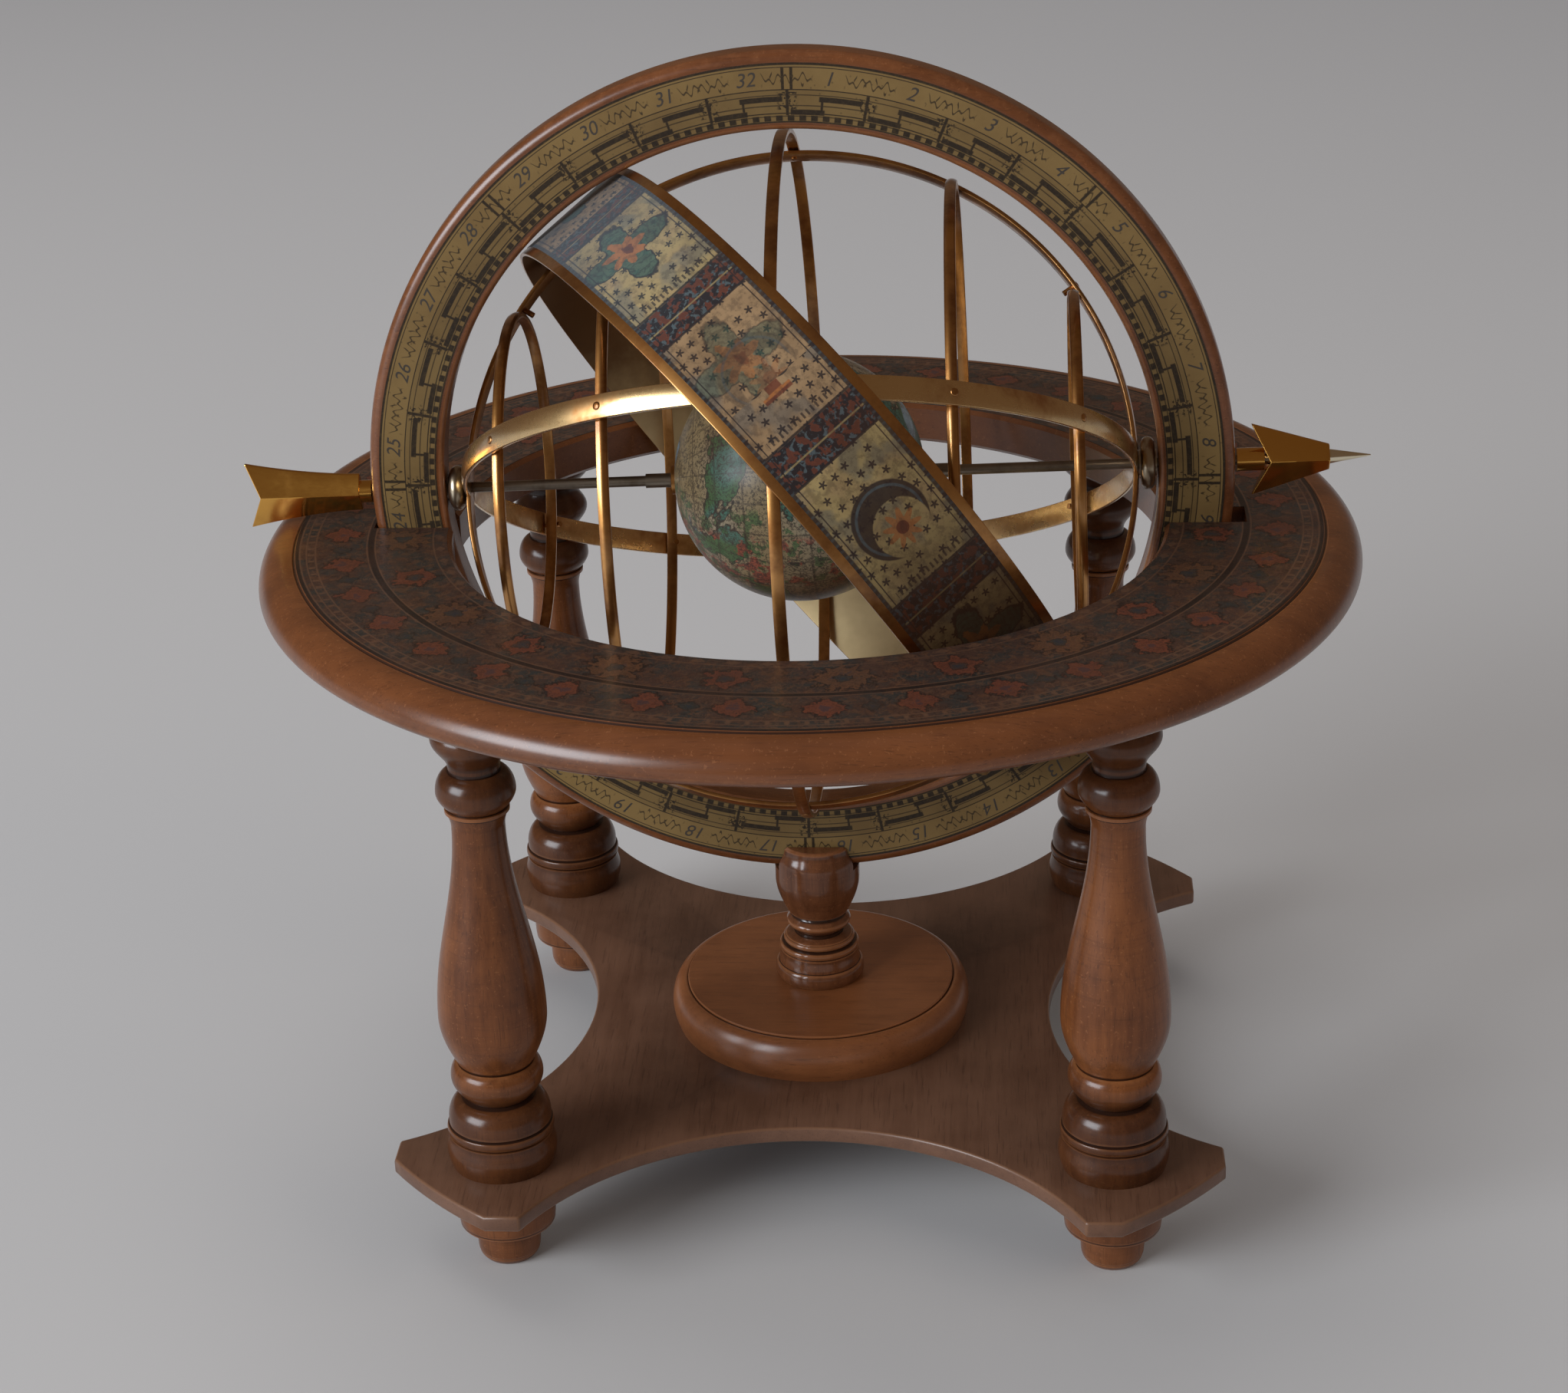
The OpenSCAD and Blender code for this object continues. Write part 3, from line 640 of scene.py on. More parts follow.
    def emboss(self, shader: Node, height: Ink, strength: float, depth: float) -> None:
        """Adds a bump to a shader.

        Args:
            shader: The shader that gets the normal.
            height: Height of the surface, from 0 to 1.
            strength: Strength of the bump.
            depth: Depth of the bump, in millimetres.
        """
        bump = self.fill(self.node("ShaderNodeBump"), Strength=strength, Distance=depth * MM, Height=height)
        self.tree.links.new(bump.outputs["Normal"], shader.inputs["Normal"])

    def use(self, group: Tree, **values: Entry) -> dict[str, Ink]:
        """Places a node group.

        Args:
            group: The group.
            **values: What goes into its inputs, by name with _ for a space.

        Returns:
            Its outputs by name.
        """
        made = self.fill(self.node("ShaderNodeGroup", node_tree=group), **values)
        return {socket.name: Ink(self, socket) for socket in made.outputs}


class GroupSheet(Sheet):
    """A shader node group with named inputs and outputs."""

    def __init__(self, name: str, inputs: dict[str, str], *outputs: str) -> None:
        """Makes the group.

        Args:
            name: Name of the group.
            inputs: Kind of each input: Float or Vector.
            *outputs: Names of the outputs, all of them Float.
        """
        super().__init__(bpy.data.node_groups.new(name, "ShaderNodeTree"))
        for way, sockets in (("INPUT", inputs), ("OUTPUT", dict.fromkeys(outputs, "Float"))):
            for title, kind in sockets.items():
                self.tree.interface.new_socket(name=title, in_out=way, socket_type=f"NodeSocket{kind}")
        self.start = self.node("NodeGroupInput")
        self.end = self.node("NodeGroupOutput")

    def given(self, name: str) -> Ink:
        """Returns an input of the group."""
        return Ink(self, self.start.outputs[name])

    def give(self, name: str, value: Ink) -> None:
        """Feeds an output of the group."""
        self.feed(self.end.inputs[name], value)


def polar_group() -> Tree:
    """Makes the group that turns a flat place into radius and share of a turn."""
    sheet = GroupSheet("polar place", {"Across": "Float", "Up": "Float"}, "Radius", "Turn")
    across, up = sheet.given("Across"), sheet.given("Up")
    sheet.give("Radius", sheet.length(across, up))
    sheet.give("Turn", sheet.math("ARCTAN2", up, across) / (2 * math.pi) + 0.5)
    return sheet.tree


def grain_group() -> Tree:
    """Makes the group of wood grain that runs along the vector's Z, in millimetres."""
    sheet = GroupSheet("wood grain", {"Place": "Vector", "Stretch": "Float"}, "Figure", "Pores", "Blotch")
    x, y, z = sheet.split(sheet.given("Place"))
    along = z / sheet.given("Stretch")
    drift = sheet.noise(sheet.join(x, y, along), 0.05, 2.0)
    rings = sheet.join(x + drift * 9.0, y + drift * 6.0, along)
    fine = sheet.noise(rings, 0.55, 4.0, 0.65)
    broad = sheet.noise(rings, 0.16, 2.0)
    sheet.give("Figure", sheet.spread(fine * 0.6 + broad * 0.4, 0.34, 0.66))
    pores = sheet.noise(sheet.join(x, y, along * 0.7), 2.6, 2.0, 0.5)
    sheet.give("Pores", sheet.above(pores, 0.64, 0.05))
    sheet.give("Blotch", sheet.noise(sheet.given("Place"), 0.045, 3.0, 0.6))
    return sheet.tree


def rub_group() -> Tree:
    """Makes the group that turns bends into a mask of sunken places, for dirt and painted shade, and a
    rubbed-edge mask.
    """
    sheet = GroupSheet("rub and dirt", {"Wear": "Float", "Place": "Vector"}, "Sunken", "Rub")
    wear = sheet.given("Wear")
    patch = sheet.noise(sheet.given("Place"), 0.4, 3.0, 0.6)
    sheet.give("Sunken", sheet.spread(wear * -1.0 + patch * 0.12, 0.1, 0.55))
    sheet.give("Rub", sheet.spread(wear * 0.8 + patch * 0.5, 0.5, 0.95))
    return sheet.tree


def age_group() -> Tree:
    """Makes the group of stains, specks and small wear of old varnished paper."""
    sheet = GroupSheet("aged paper", {"Place": "Vector"}, "Stain", "Specks", "Fibre")
    place = sheet.given("Place")
    sheet.give("Stain", sheet.spread(sheet.noise(place, 0.05, 4.0, 0.6), 0.35, 0.7))
    sheet.give("Specks", sheet.below(sheet.cells(place, 0.5), 0.12, 0.05))
    sheet.give("Fibre", sheet.noise(place, 1.6, 4.0, 0.7))
    return sheet.tree


POLAR = polar_group()
GRAIN = grain_group()
RUB = rub_group()
AGE = age_group()


class Finish:
    """A material: its colours, gloss and bump come from its own draw method."""

    title: str

    def draw(self, sheet: Sheet, shader: Node) -> None:
        """Draws the material's nodes into its shader. Each finish has its own."""
        raise NotImplementedError

    def make(self) -> Material:
        """Makes the material."""
        material = bpy.data.materials.new(self.title)
        material.use_nodes = True
        tree = material.node_tree
        tree.nodes.clear()
        sheet = Sheet(tree)
        shader = sheet.node("ShaderNodeBsdfPrincipled")
        result = sheet.node("ShaderNodeOutputMaterial")
        tree.links.new(shader.outputs["BSDF"], result.inputs["Surface"])
        self.draw(sheet, shader)
        return material


@dataclass(frozen=True)
class Wood(Finish):
    """Stained and varnished wood."""

    title: str
    deep: Colour
    light: Colour
    grain: Grain
    stretch: float = 14.0
    rough: float = 0.34
    coat: float = 0.4
    shine: float = 0.05
    gloss: float = 0.16
    turning: float = 0.0
    # Heights in millimetres below and above which painted shade darkens the wood.
    painted_shade_heights: tuple[float, float] = (-100.0, 1000.0)
    painted_shade_fade: float = 9.0
    rub: Colour = (0.30, 0.115, 0.042)
    # Colour of pores, turning marks and dirt, and of painted shade in grooves and towards the ends of a height
    # range.
    dirt_and_shade: Colour = (0.018, 0.007, 0.004)

    def draw(self, sheet: Sheet, shader: Node) -> None:
        """Draws grain, pores, chips, rubbed edges, dirt and painted shade in the grooves, turning marks, and
        painted shade below and above a height range.
        """
        place = sheet.place()
        x, y, z = sheet.split(place)
        turned = {Grain.UP: (x, y, z), Grain.ACROSS: (z, y, x), Grain.DEPTH: (x, z, y)}[self.grain]
        grain = sheet.use(GRAIN, Place=sheet.join(*turned), Stretch=self.stretch)
        marks = sheet.use(RUB, Wear=sheet.wear(), Place=place)
        tone = grain["Figure"] * 0.2 + grain["Blotch"] * 0.95
        chips = sheet.above(sheet.noise(place, 1.1, 3.0, 0.7), 0.64, 0.04)
        rings = sheet.noise(sheet.join(x * 0.04, y * 0.04, z), 0.9, 3.0, 0.75)
        # Painted shade: the wood darkens below the first height and above the second, as at a leg's top under
        # the flat ring and at its foot by the plate.
        low, high = self.painted_shade_heights
        reach = z + (grain["Blotch"] - 0.5) * 8.0
        painted_end_shade = sheet.either(sheet.spread(reach, low, low - self.painted_shade_fade),
                             sheet.spread(reach, high, high + self.painted_shade_fade))
        colour = sheet.mix(sheet.spread(tone, 0.15, 0.95), self.deep, self.light)
        # The grooves darken with dirt and painted shade.
        colour = sheet.layers(
            colour, (grain["Pores"] * 0.3, self.dirt_and_shade), (chips * 0.3, self.rub), (marks["Rub"] * 0.5, self.rub),
            (marks["Sunken"] * 0.9, self.dirt_and_shade), (sheet.spread(rings, 0.5, 0.72) * self.turning, self.dirt_and_shade),
            (painted_end_shade * 0.55, self.dirt_and_shade))
        rough = grain["Blotch"] * 0.16 + marks["Sunken"] * 0.2 + self.rough - 0.05
        sheet.fill(shader, Base_Color=colour, Roughness=rough, Specular_IOR_Level=self.shine,
                   Coat_Weight=self.coat, Coat_Roughness=self.gloss)
        sheet.emboss(shader, grain["Figure"] * 0.4 - grain["Pores"] * 0.5 - chips * 0.4, 0.22, 0.08)


@dataclass(frozen=True)
class Metal(Finish):
    """Brass or steel strip with brush marks and tarnish."""

    title: str
    bright: Colour
    dull: Colour
    tarnish: float
    rough: float
    lacquer: float = 0.3
    lacquer_gloss: float = 0.14

    def draw(self, sheet: Sheet, shader: Node) -> None:
        """Draws tarnish in patches, fine scratches and dirt along the bends."""
        place = sheet.place(ROD)
        marks = sheet.use(RUB, Wear=sheet.wear(), Place=place)
        patch = sheet.noise(place, 0.06, 4.0, 0.65)
        specks = sheet.noise(place, 0.9, 3.0, 0.7)
        x, y, z = sheet.split(place)
        scratches = sheet.noise(sheet.join(x * 0.3, y, z), 2.2, 2.0, 0.6)
        dull = sheet.spread(patch + specks * 0.12, 0.72 - self.tarnish * 0.5, 1.02 - self.tarnish * 0.5)
        colour = sheet.layers(self.bright, (dull, self.dull), (marks["Sunken"] * 0.7, self.dull))
        rough = dull * 0.14 + scratches * 0.06 + self.rough - 0.03
        sheet.fill(shader, Base_Color=colour, Roughness=rough, Metallic=1.0, Coat_Weight=self.lacquer,
                   Coat_Roughness=self.lacquer_gloss)
        sheet.emboss(shader, scratches * 0.8 + specks * 0.2, 0.08, 0.02)


@dataclass(frozen=True)
class Lining(Finish):
    """The slanted band's inner face: pale and dull below, with painted shade that darkens it towards the top.
    """

    title: str
    pale: Colour = (0.66, 0.51, 0.28)
    # Colour of the painted shade and of the stains.
    dark: Colour = (0.17, 0.085, 0.040)
    fades_from: float = -12.0
    fades_to: float = 18.0

    def draw(self, sheet: Sheet, shader: Node) -> None:
        """Draws painted shade that grows with height, and stains."""
        place = sheet.place(ROD)
        age = sheet.use(AGE, Place=place)
        _, _, z = sheet.split(place)
        cloud = sheet.noise(place, 0.09, 4.0, 0.6)
        # Painted shade: the inner face darkens with height.
        dark = sheet.spread(z + (cloud - 0.5) * 30.0, self.fades_from, self.fades_to, 0.0, 0.9)
        colour = sheet.layers(self.pale, (dark, self.dark), (age["Stain"] * 0.3, self.dark))
        sheet.fill(shader, Base_Color=colour, Roughness=cloud * 0.2 + 0.36, Metallic=1.0)
        sheet.emboss(shader, age["Fibre"], 0.06, 0.02)


@dataclass(frozen=True)
class Varnish:
    """The worn varnish over printed paper, with the paper's fibres showing through."""

    rough: float
    uneven: float
    shine: float
    coat: float
    gloss: float
    bump: float
    fibre_h: float = 0.03

    def lay(self, sheet: Sheet, shader: Node, colour: Ink, fibre: Ink) -> None:
        """Finishes a print.

        Args:
            sheet: The material's tree.
            shader: Its shader.
            colour: The finished drawing.
            fibre: The paper's fibres, from 0 to 1.
        """
        sheet.fill(shader, Base_Color=colour, Roughness=fibre * self.uneven + self.rough,
                   Specular_IOR_Level=self.shine, Coat_Weight=self.coat, Coat_Roughness=self.gloss)
        sheet.emboss(shader, fibre, self.bump, self.fibre_h)


@dataclass(frozen=True)
class Roundels:
    """A row of petalled roundels on the flat ring's print, off its middle line."""

    count: int
    shift: float
    off: float
    size: float
    petals: int
    tone: Colour
    cut: float = 0.14

    def draw(self, sheet: Sheet, polar: dict[str, Ink], middle: float, worn: Ink) -> tuple[Ink, Ink]:
        """Draws the row.

        Args:
            sheet: The material's tree.
            polar: Radius and turn of the surface.
            middle: Radius of the print's middle line.
            worn: How far the print's edges have bled, as a share of the size.

        Returns:
            A mask of the roundels, and the distance from their middle as a share of their size.
        """
        at = middle + self.off
        step = 2 * math.pi * at / self.count
        across = (sheet.fraction(polar["Turn"] * float(self.count) + self.shift) - 0.5) * step
        out = polar["Radius"] - at
        wave = sheet.math("COSINE", sheet.math("ARCTAN2", out, across) * float(self.petals))
        distance = sheet.length(across, out) / (wave * (self.size * self.cut) + self.size) + worn
        return sheet.below(distance, 1.0, 0.05), distance


@dataclass(frozen=True)
class HorizonPrint(Finish):
    """The dark varnished print on the flat ring, with roundels, suns and fine rules."""

    title: str
    inner: float
    outer: float
    ground: Colour = (0.052, 0.026, 0.018)
    tint: Colour = (0.024, 0.026, 0.024)
    rule: Colour = (0.110, 0.054, 0.030)
    black: Colour = (0.012, 0.009, 0.008)
    red: Colour = (0.145, 0.035, 0.016)
    leaf: Colour = (0.020, 0.026, 0.024)
    sun: Colour = (0.110, 0.045, 0.020)
    eye: Colour = (0.016, 0.022, 0.030)
    rows: tuple[Roundels, ...] = (
        Roundels(36, 0.0, 7.0, 3.9, 4, red), Roundels(36, 0.5, 7.0, 1.9, 4, leaf),
        Roundels(12, 0.25, -7.6, 5.8, 12, sun), Roundels(12, 0.75, -7.6, 4.4, 5, red),
        Roundels(24, 0.0, -7.6, 1.8, 3, leaf))
    ticks: int = 180
    lozenges: int = 72
    varnish: Varnish = Varnish(0.33, 0.12, 0.2, 0.15, 0.22, 0.1)

    def draw(self, sheet: Sheet, shader: Node) -> None:
        """Draws the ring's zones from the ground up."""
        place = sheet.place()
        x, y, _ = sheet.split(place)
        polar = sheet.use(POLAR, Across=x, Up=y)
        radius, turn = polar["Radius"], polar["Turn"]
        deep = self.outer - radius
        age = sheet.use(AGE, Place=place)
        cloud = sheet.spread(sheet.noise(place, 0.12, 4.0, 0.6), 0.4, 0.62)
        blot = sheet.above(sheet.noise(place, 0.42, 2.0, 0.5, 0.8), 0.57, 0.03)
        vine = sheet.line(sheet.noise(place, 0.21, 3.0, 0.6, 2.0), 0.47, 0.02, 0.015)
        scroll = sheet.line(sheet.noise(place, 0.33, 2.0, 0.5, 1.2), 0.5, 0.018, 0.012)
        colour = sheet.layers(self.ground, (cloud, self.tint), (blot * 0.4, self.sun), (vine * 0.5, self.black),
                              (scroll * 0.5, self.rule))
        worn = (sheet.noise(place, 0.5, 3.0, 0.7) - 0.5) * 1.9
        middle = (self.inner + self.outer) / 2
        for row in self.rows:
            mask, distance = row.draw(sheet, polar, middle, worn)
            rims = sheet.either(sheet.line(distance, 1.05, 0.1, 0.06),
                                sheet.line(distance, 0.62, 0.06, 0.04) * 0.5)
            colour = sheet.layers(colour, (mask * 0.62, row.tone), (rims * 0.8, self.black),
                                  (sheet.below(distance, 0.28, 0.08) * 0.55, self.eye))
        ticks = sheet.line(sheet.fraction(turn * float(self.ticks)), 0.5, 0.12, 0.06) * sheet.between(
            deep, 2.9, 4.4, 0.1)
        rules = sheet.either(ticks, *(sheet.line(radius, at, half, 0.1) for at, half in (
            (self.outer - 1.1, 0.16), (self.outer - 2.6, 0.16), (self.outer - 4.7, 0.2),
            (middle + 1.0, 0.16), (middle - 0.9, 0.16), (self.inner + 3.2, 0.18))))
        dark = sheet.either(sheet.line(radius, middle, 0.7, 0.15), sheet.line(deep, 0.3, 0.5, 0.1))
        step = 2 * math.pi * self.inner / self.lozenges
        side = sheet.size(sheet.fraction(turn * float(self.lozenges)) - 0.5) * step
        lozenge = sheet.below(side * 0.7 + sheet.size(radius - self.inner - 1.6), 1.15, 0.12)
        colour = sheet.layers(colour, (dark * 0.85, self.black), (rules * 0.75, self.rule),
                              (lozenge * 0.6, self.rule), (age["Stain"] * 0.35, self.ground))
        self.varnish.lay(sheet, shader, colour, age["Fibre"])


@dataclass(frozen=True)
class MeridianPrint(Finish):
    """The tan graduated scale on both faces of the upright ring."""

    title: str
    inner: float
    outer: float
    cells: int = 32
    sectors: int = 8
    waves: int = 4
    buds: int = 8
    frame_at: float = 1.05
    scroll_at: float = 3.6
    rule_at: float = 6.1
    first_row_at: float = 8.2
    second_row_at: float = 11.2
    tooth_at: float = 0.35
    tooth_h: float = 1.25
    teeth: float = 208.0
    number_gap: float = 0.2
    thin_rules: tuple[Point, ...] = ((7.3, 0.12), (9.7, 0.14), (12.1, 0.12))
    paper: Colour = (0.196, 0.122, 0.044)
    stained: Colour = (0.120, 0.068, 0.024)
    ink: Colour = (0.014, 0.010, 0.008)
    varnish: Varnish = Varnish(0.36, 0.15, 0.15, 0.1, 0.25, 0.12)

    def dashes(self, sheet: Sheet, place: Ink, deep: Ink, cell: Ink) -> Ink:
        """Draws the two rows of dashes with their posts, thin rules and flecks.

        Args:
            sheet: The material's tree.
            place: Place of the surface.
            deep: Distance from the print's outer edge, in millimetres.
            cell: Place in the cell, from 0 to 1.

        Returns:
            A mask of the dashes.
        """
        mark = sheet.fraction(cell + 0.5)
        first = sheet.line(deep, self.first_row_at, 0.6, 0.08) * sheet.between(cell, 0.06, 0.6, 0.01)
        second = sheet.line(deep, self.second_row_at, 0.6, 0.08) * sheet.between(cell, 0.52, 0.96, 0.01)
        thin = sheet.either(*(sheet.line(deep, at, half, 0.06) for at, half in self.thin_rules))
        posts = sheet.line(mark, 0.5, 0.02, 0.008) * sheet.between(deep, self.rule_at, 11.9, 0.06)
        half_posts = sheet.line(cell, 0.56, 0.016, 0.008) * sheet.between(
            deep, self.first_row_at, self.second_row_at, 0.06)
        flecks = sheet.above(sheet.noise(place, 1.3, 3.0), 0.54, 0.04) * sheet.below(
            sheet.size(mark - 0.5), 0.12, 0.03) * sheet.between(deep, 6.6, 10.6, 0.06)
        return sheet.either(first, second, thin * 0.8, posts, half_posts, flecks)

    def scrolls(self, sheet: Sheet, deep: Ink, cell: Ink) -> Ink:
        """Draws a scribbled vine with buds beside each number.

        Args:
            sheet: The material's tree.
            deep: Distance from the print's outer edge, in millimetres.
            cell: Place in the cell, from 0 to 1.

        Returns:
            A mask of the scribble.
        """
        pen = cell * (2 * math.pi * self.waves)
        wave = sheet.math("SINE", pen) * 0.75 + sheet.math("SINE", pen * 2.5 + 1.0) * 0.55
        beside = sheet.above(sheet.size(cell - 0.5), self.number_gap, 0.02)
        vine = sheet.line(deep + wave, self.scroll_at, 0.24, 0.1)
        bud = sheet.line(deep - wave * 1.2, self.scroll_at, 0.34, 0.12) * sheet.line(
            sheet.fraction(cell * float(self.buds)), 0.5, 0.13, 0.05)
        return sheet.either(vine * beside * 0.85, bud * beside * 0.85)

    def draw(self, sheet: Sheet, shader: Node) -> None:
        """Draws the border, rules, dashes, checks, scrolls and double rules on stained paper."""
        place = sheet.place(Matrix.Translation(ROD.translation))
        x, _, z = sheet.split(place)
        polar = sheet.use(POLAR, Across=x, Up=z)
        radius, turn = polar["Radius"], polar["Turn"]
        deep = self.outer - radius
        age = sheet.use(AGE, Place=place)
        cell = sheet.fraction(turn * float(self.cells))
        teeth_from = self.inner + self.tooth_at
        checks = sheet.above(sheet.fraction(turn * self.teeth), 0.42, 0.06) * sheet.between(
            radius, teeth_from, teeth_from + self.tooth_h, 0.08)
        sector = sheet.size(sheet.fraction(turn * float(self.sectors) + 0.5) - 0.5)
        double = sheet.line(sector, 0.013, 0.0045, 0.0015) * sheet.between(
            deep, self.frame_at, self.rule_at, 0.06)
        ink = sheet.either(
            sheet.below(deep, 0.55, 0.08), sheet.line(deep, self.frame_at, 0.1, 0.06),
            sheet.line(deep, self.rule_at, 0.12, 0.06), self.dashes(sheet, place, deep, cell), checks,
            sheet.line(radius, self.inner + 0.15, 0.16, 0.06),
            sheet.line(radius, teeth_from + self.tooth_h + 0.45, 0.13, 0.06), double,
            self.scrolls(sheet, deep, cell))
        paper = sheet.layers(self.paper, (age["Stain"] * 0.55, self.stained), (age["Specks"] * 0.35, self.ink),
                             (sheet.above(deep, self.rule_at, 0.3) * 0.16, self.ink))
        faded = sheet.spread(age["Fibre"], 0.2, 0.6, 0.8, 1.0)
        self.varnish.lay(sheet, shader, sheet.mix(ink * faded * 0.93, paper, self.ink), age["Fibre"])


@dataclass(frozen=True)
class BandPrint(Finish):
    """The print on the slanted band: tan panels with stars and plain devices, between dark strips."""

    title: str
    place: Matrix
    radius: float
    width: float
    panels: int = 12
    strip: float = 9.0
    turn: float = 0.31
    star_gap: float = 3.1
    star_r: float = 0.98
    paper: Colour = (0.320, 0.232, 0.098)
    rose: Colour = (0.275, 0.172, 0.088)
    slate: Colour = (0.062, 0.080, 0.084)
    ink: Colour = (0.020, 0.017, 0.018)
    green: Colour = (0.040, 0.088, 0.060)
    orange: Colour = (0.330, 0.120, 0.036)
    rust: Colour = (0.130, 0.038, 0.020)
    # Colour of the stains and of the painted shade towards the lower right.
    stain_and_shade: Colour = (0.036, 0.014, 0.005)
    # Colour of a painted bluish sheen towards the upper left.
    painted_sheen: Colour = (0.100, 0.128, 0.152)
    varnish: Varnish = Varnish(0.34, 0.14, 0.15, 0.12, 0.22, 0.12)

    def draw(self, sheet: Sheet, shader: Node) -> None:
        """Draws panels with stars and devices, strips, frames and marks, then stains, painted shade towards the
        lower right and a painted bluish sheen towards the upper left.
        """
        place = sheet.place(self.place)
        x, y, v = sheet.split(place)
        polar = sheet.use(POLAR, Across=x, Up=y)
        age = sheet.use(AGE, Place=place)
        length = 2 * math.pi * self.radius / self.panels
        step = polar["Turn"] * float(self.panels) + self.turn * self.panels
        number = sheet.math("FLOOR", step)
        along = sheet.fraction(step) * length
        u = along - (self.strip + length) / 2
        flat = sheet.join(u + number * 37.0, v, 0.0)
        colour = sheet.layers(
            self.paper, (sheet.above(sheet.chance(number), 0.55, 0.02), self.rose),
            (sheet.spread(sheet.noise(flat, 0.16, 3.0), 0.42, 0.7) * 0.5, self.rose),
            (sheet.above(sheet.noise(flat, 0.09, 3.0, 0.5, 0.5), 0.56, 0.05) * 0.5, self.slate),
            (self.stars(sheet, u, v, number) * 0.9, self.ink))
        kind = sheet.chance(number + 7.0)
        colour = self.flower(sheet, colour, (u + 3.5) * 0.8, (v + 1.0) * 0.8, sheet.below(kind, 0.36, 0.01))
        colour = self.moon(sheet, colour, (u - 1.0) * 0.82, v * 0.82, sheet.between(kind, 0.36, 0.68, 0.01))
        colour = self.urn(sheet, colour, (u + 2.0) * 0.85, v * 0.85, sheet.above(kind, 0.68, 0.01))
        in_strip = sheet.below(along, self.strip, 0.12)
        strip_tone = sheet.layers(
            self.ink, (sheet.above(sheet.noise(flat, 0.75, 3.0, 0.6, 0.6), 0.55, 0.04), self.slate),
            (sheet.above(sheet.noise(flat, 0.5, 2.0), 0.54, 0.04), self.rust),
            (sheet.line(along, self.strip / 2, 0.2, 0.1) * 0.6, self.paper))
        sides = sheet.size(v)
        edge = self.width / 2
        frames = sheet.either(
            sheet.line(along, self.strip, 0.3, 0.1), sheet.line(along, length - 0.3, 0.3, 0.1),
            sheet.above(sides, edge - 0.9, 0.12), sheet.line(sides, edge - 1.9, 0.14, 0.08))
        dots = sheet.line(sheet.fraction(along * 0.62), 0.5, 0.17, 0.06) * sheet.above(sides, edge - 0.8, 0.1)
        marks = sheet.line(sheet.fraction(v * 0.8), 0.5, 0.2, 0.05) * sheet.line(u, length / 2 - 6.6, 0.75, 0.1)
        marks = marks * sheet.below(sides, edge - 3.4, 0.1) * sheet.above(along, self.strip, 0.12)
        wash = sheet.above(sheet.noise(flat, 0.5, 4.0, 0.7), 0.53, 0.08)
        where_x, _, where_z = sheet.split(sheet.place(Matrix.Translation(ROD.translation)))
        fall = where_x - where_z
        colour = sheet.layers(
            colour, (in_strip, strip_tone), (frames * 0.9, self.ink), (dots * 0.5, self.slate),
            (marks * 0.8, self.ink), (wash * 0.38, self.ink), (age["Stain"] * 0.4, self.stain_and_shade),
            # Painted shade, growing towards the lower right.
            (sheet.spread(fall, -50.0, 90.0) * 0.92, self.stain_and_shade),
            # Painted bluish sheen, growing towards the upper left.
            (sheet.spread(fall, -70.0, -125.0) * 0.5, self.painted_sheen))
        self.varnish.lay(sheet, shader, colour, age["Fibre"])

    def stars(self, sheet: Sheet, u: Ink, v: Ink, number: Ink) -> Ink:
        """Draws staggered five-pointed stars, some of them left out.

        Args:
            sheet: The material's tree.
            u: Place along the panel, in millimetres.
            v: Place across the band, in millimetres.
            number: Number of the panel.

        Returns:
            A mask of the stars.
        """
        column = sheet.math("FLOOR", u / self.star_gap)
        row_place = v / self.star_gap + column * 0.5
        row = sheet.math("FLOOR", row_place)
        luck = sheet.chance(column * 13.0 + row * 57.0 + number * 7.0)
        x = (sheet.fraction(u / self.star_gap) - 0.5 + (luck - 0.5) * 0.3) * self.star_gap
        y = (sheet.fraction(row_place) - 0.5) * self.star_gap
        around = sheet.math("ARCTAN2", y, x) + luck * 6.0
        reach = sheet.math("COSINE", around * 5.0) * (self.star_r * 0.32) + self.star_r * 0.7
        return sheet.below(sheet.length(x, y) / reach, 1.0, 0.1) * sheet.above(luck, 0.22, 0.01)

    def flower(self, sheet: Sheet, colour: Ink, u: Ink, v: Ink, where: Ink) -> Ink:
        """Lays a flower with green leaves over the colour where asked."""
        around = sheet.math("ARCTAN2", v, u)
        far = sheet.length(u, v)
        far = far + (sheet.noise(sheet.join(u, v, 0.0), 0.3, 3.0, 0.6) - 0.5) * 5.0
        rim = far / (sheet.math("COSINE", around * 4.0) * 2.6 + 6.6)
        leaves = sheet.below(rim, 1.0, 0.04) * where
        veins = sheet.line(sheet.fraction(far * 0.8), 0.5, 0.12, 0.08)
        petals = sheet.below(far / (sheet.math("COSINE", around * 7.0 + 1.0) + 3.4), 1.0, 0.06)
        return sheet.layers(
            colour, (leaves * 0.9, self.green), (leaves * veins * 0.5, self.ink), (petals * where, self.orange),
            (sheet.below(far, 1.1, 0.15) * where, self.rust),
            (sheet.line(rim, 1.0, 0.05, 0.03) * where * 0.9, self.ink))

    def moon(self, sheet: Sheet, colour: Ink, u: Ink, v: Ink, where: Ink) -> Ink:
        """Lays a crescent round a small sun over the colour where asked."""
        far = sheet.length(u, v)
        inner = sheet.length(u - 2.4, v - 0.8)
        crescent = sheet.below(far, 7.2, 0.15) * sheet.above(inner, 5.4, 0.15) * where
        around = sheet.math("ARCTAN2", v - 0.8, u - 2.6)
        rays = sheet.below(inner / (sheet.math("COSINE", around * 9.0) * 0.9 + 2.8), 1.0, 0.05)
        return sheet.layers(
            colour, (crescent * 0.92, self.ink), (sheet.line(far, 6.2, 0.25, 0.1) * crescent, self.slate),
            (rays * where * 0.85, self.orange), (sheet.below(inner, 1.2, 0.1) * where, self.rust))

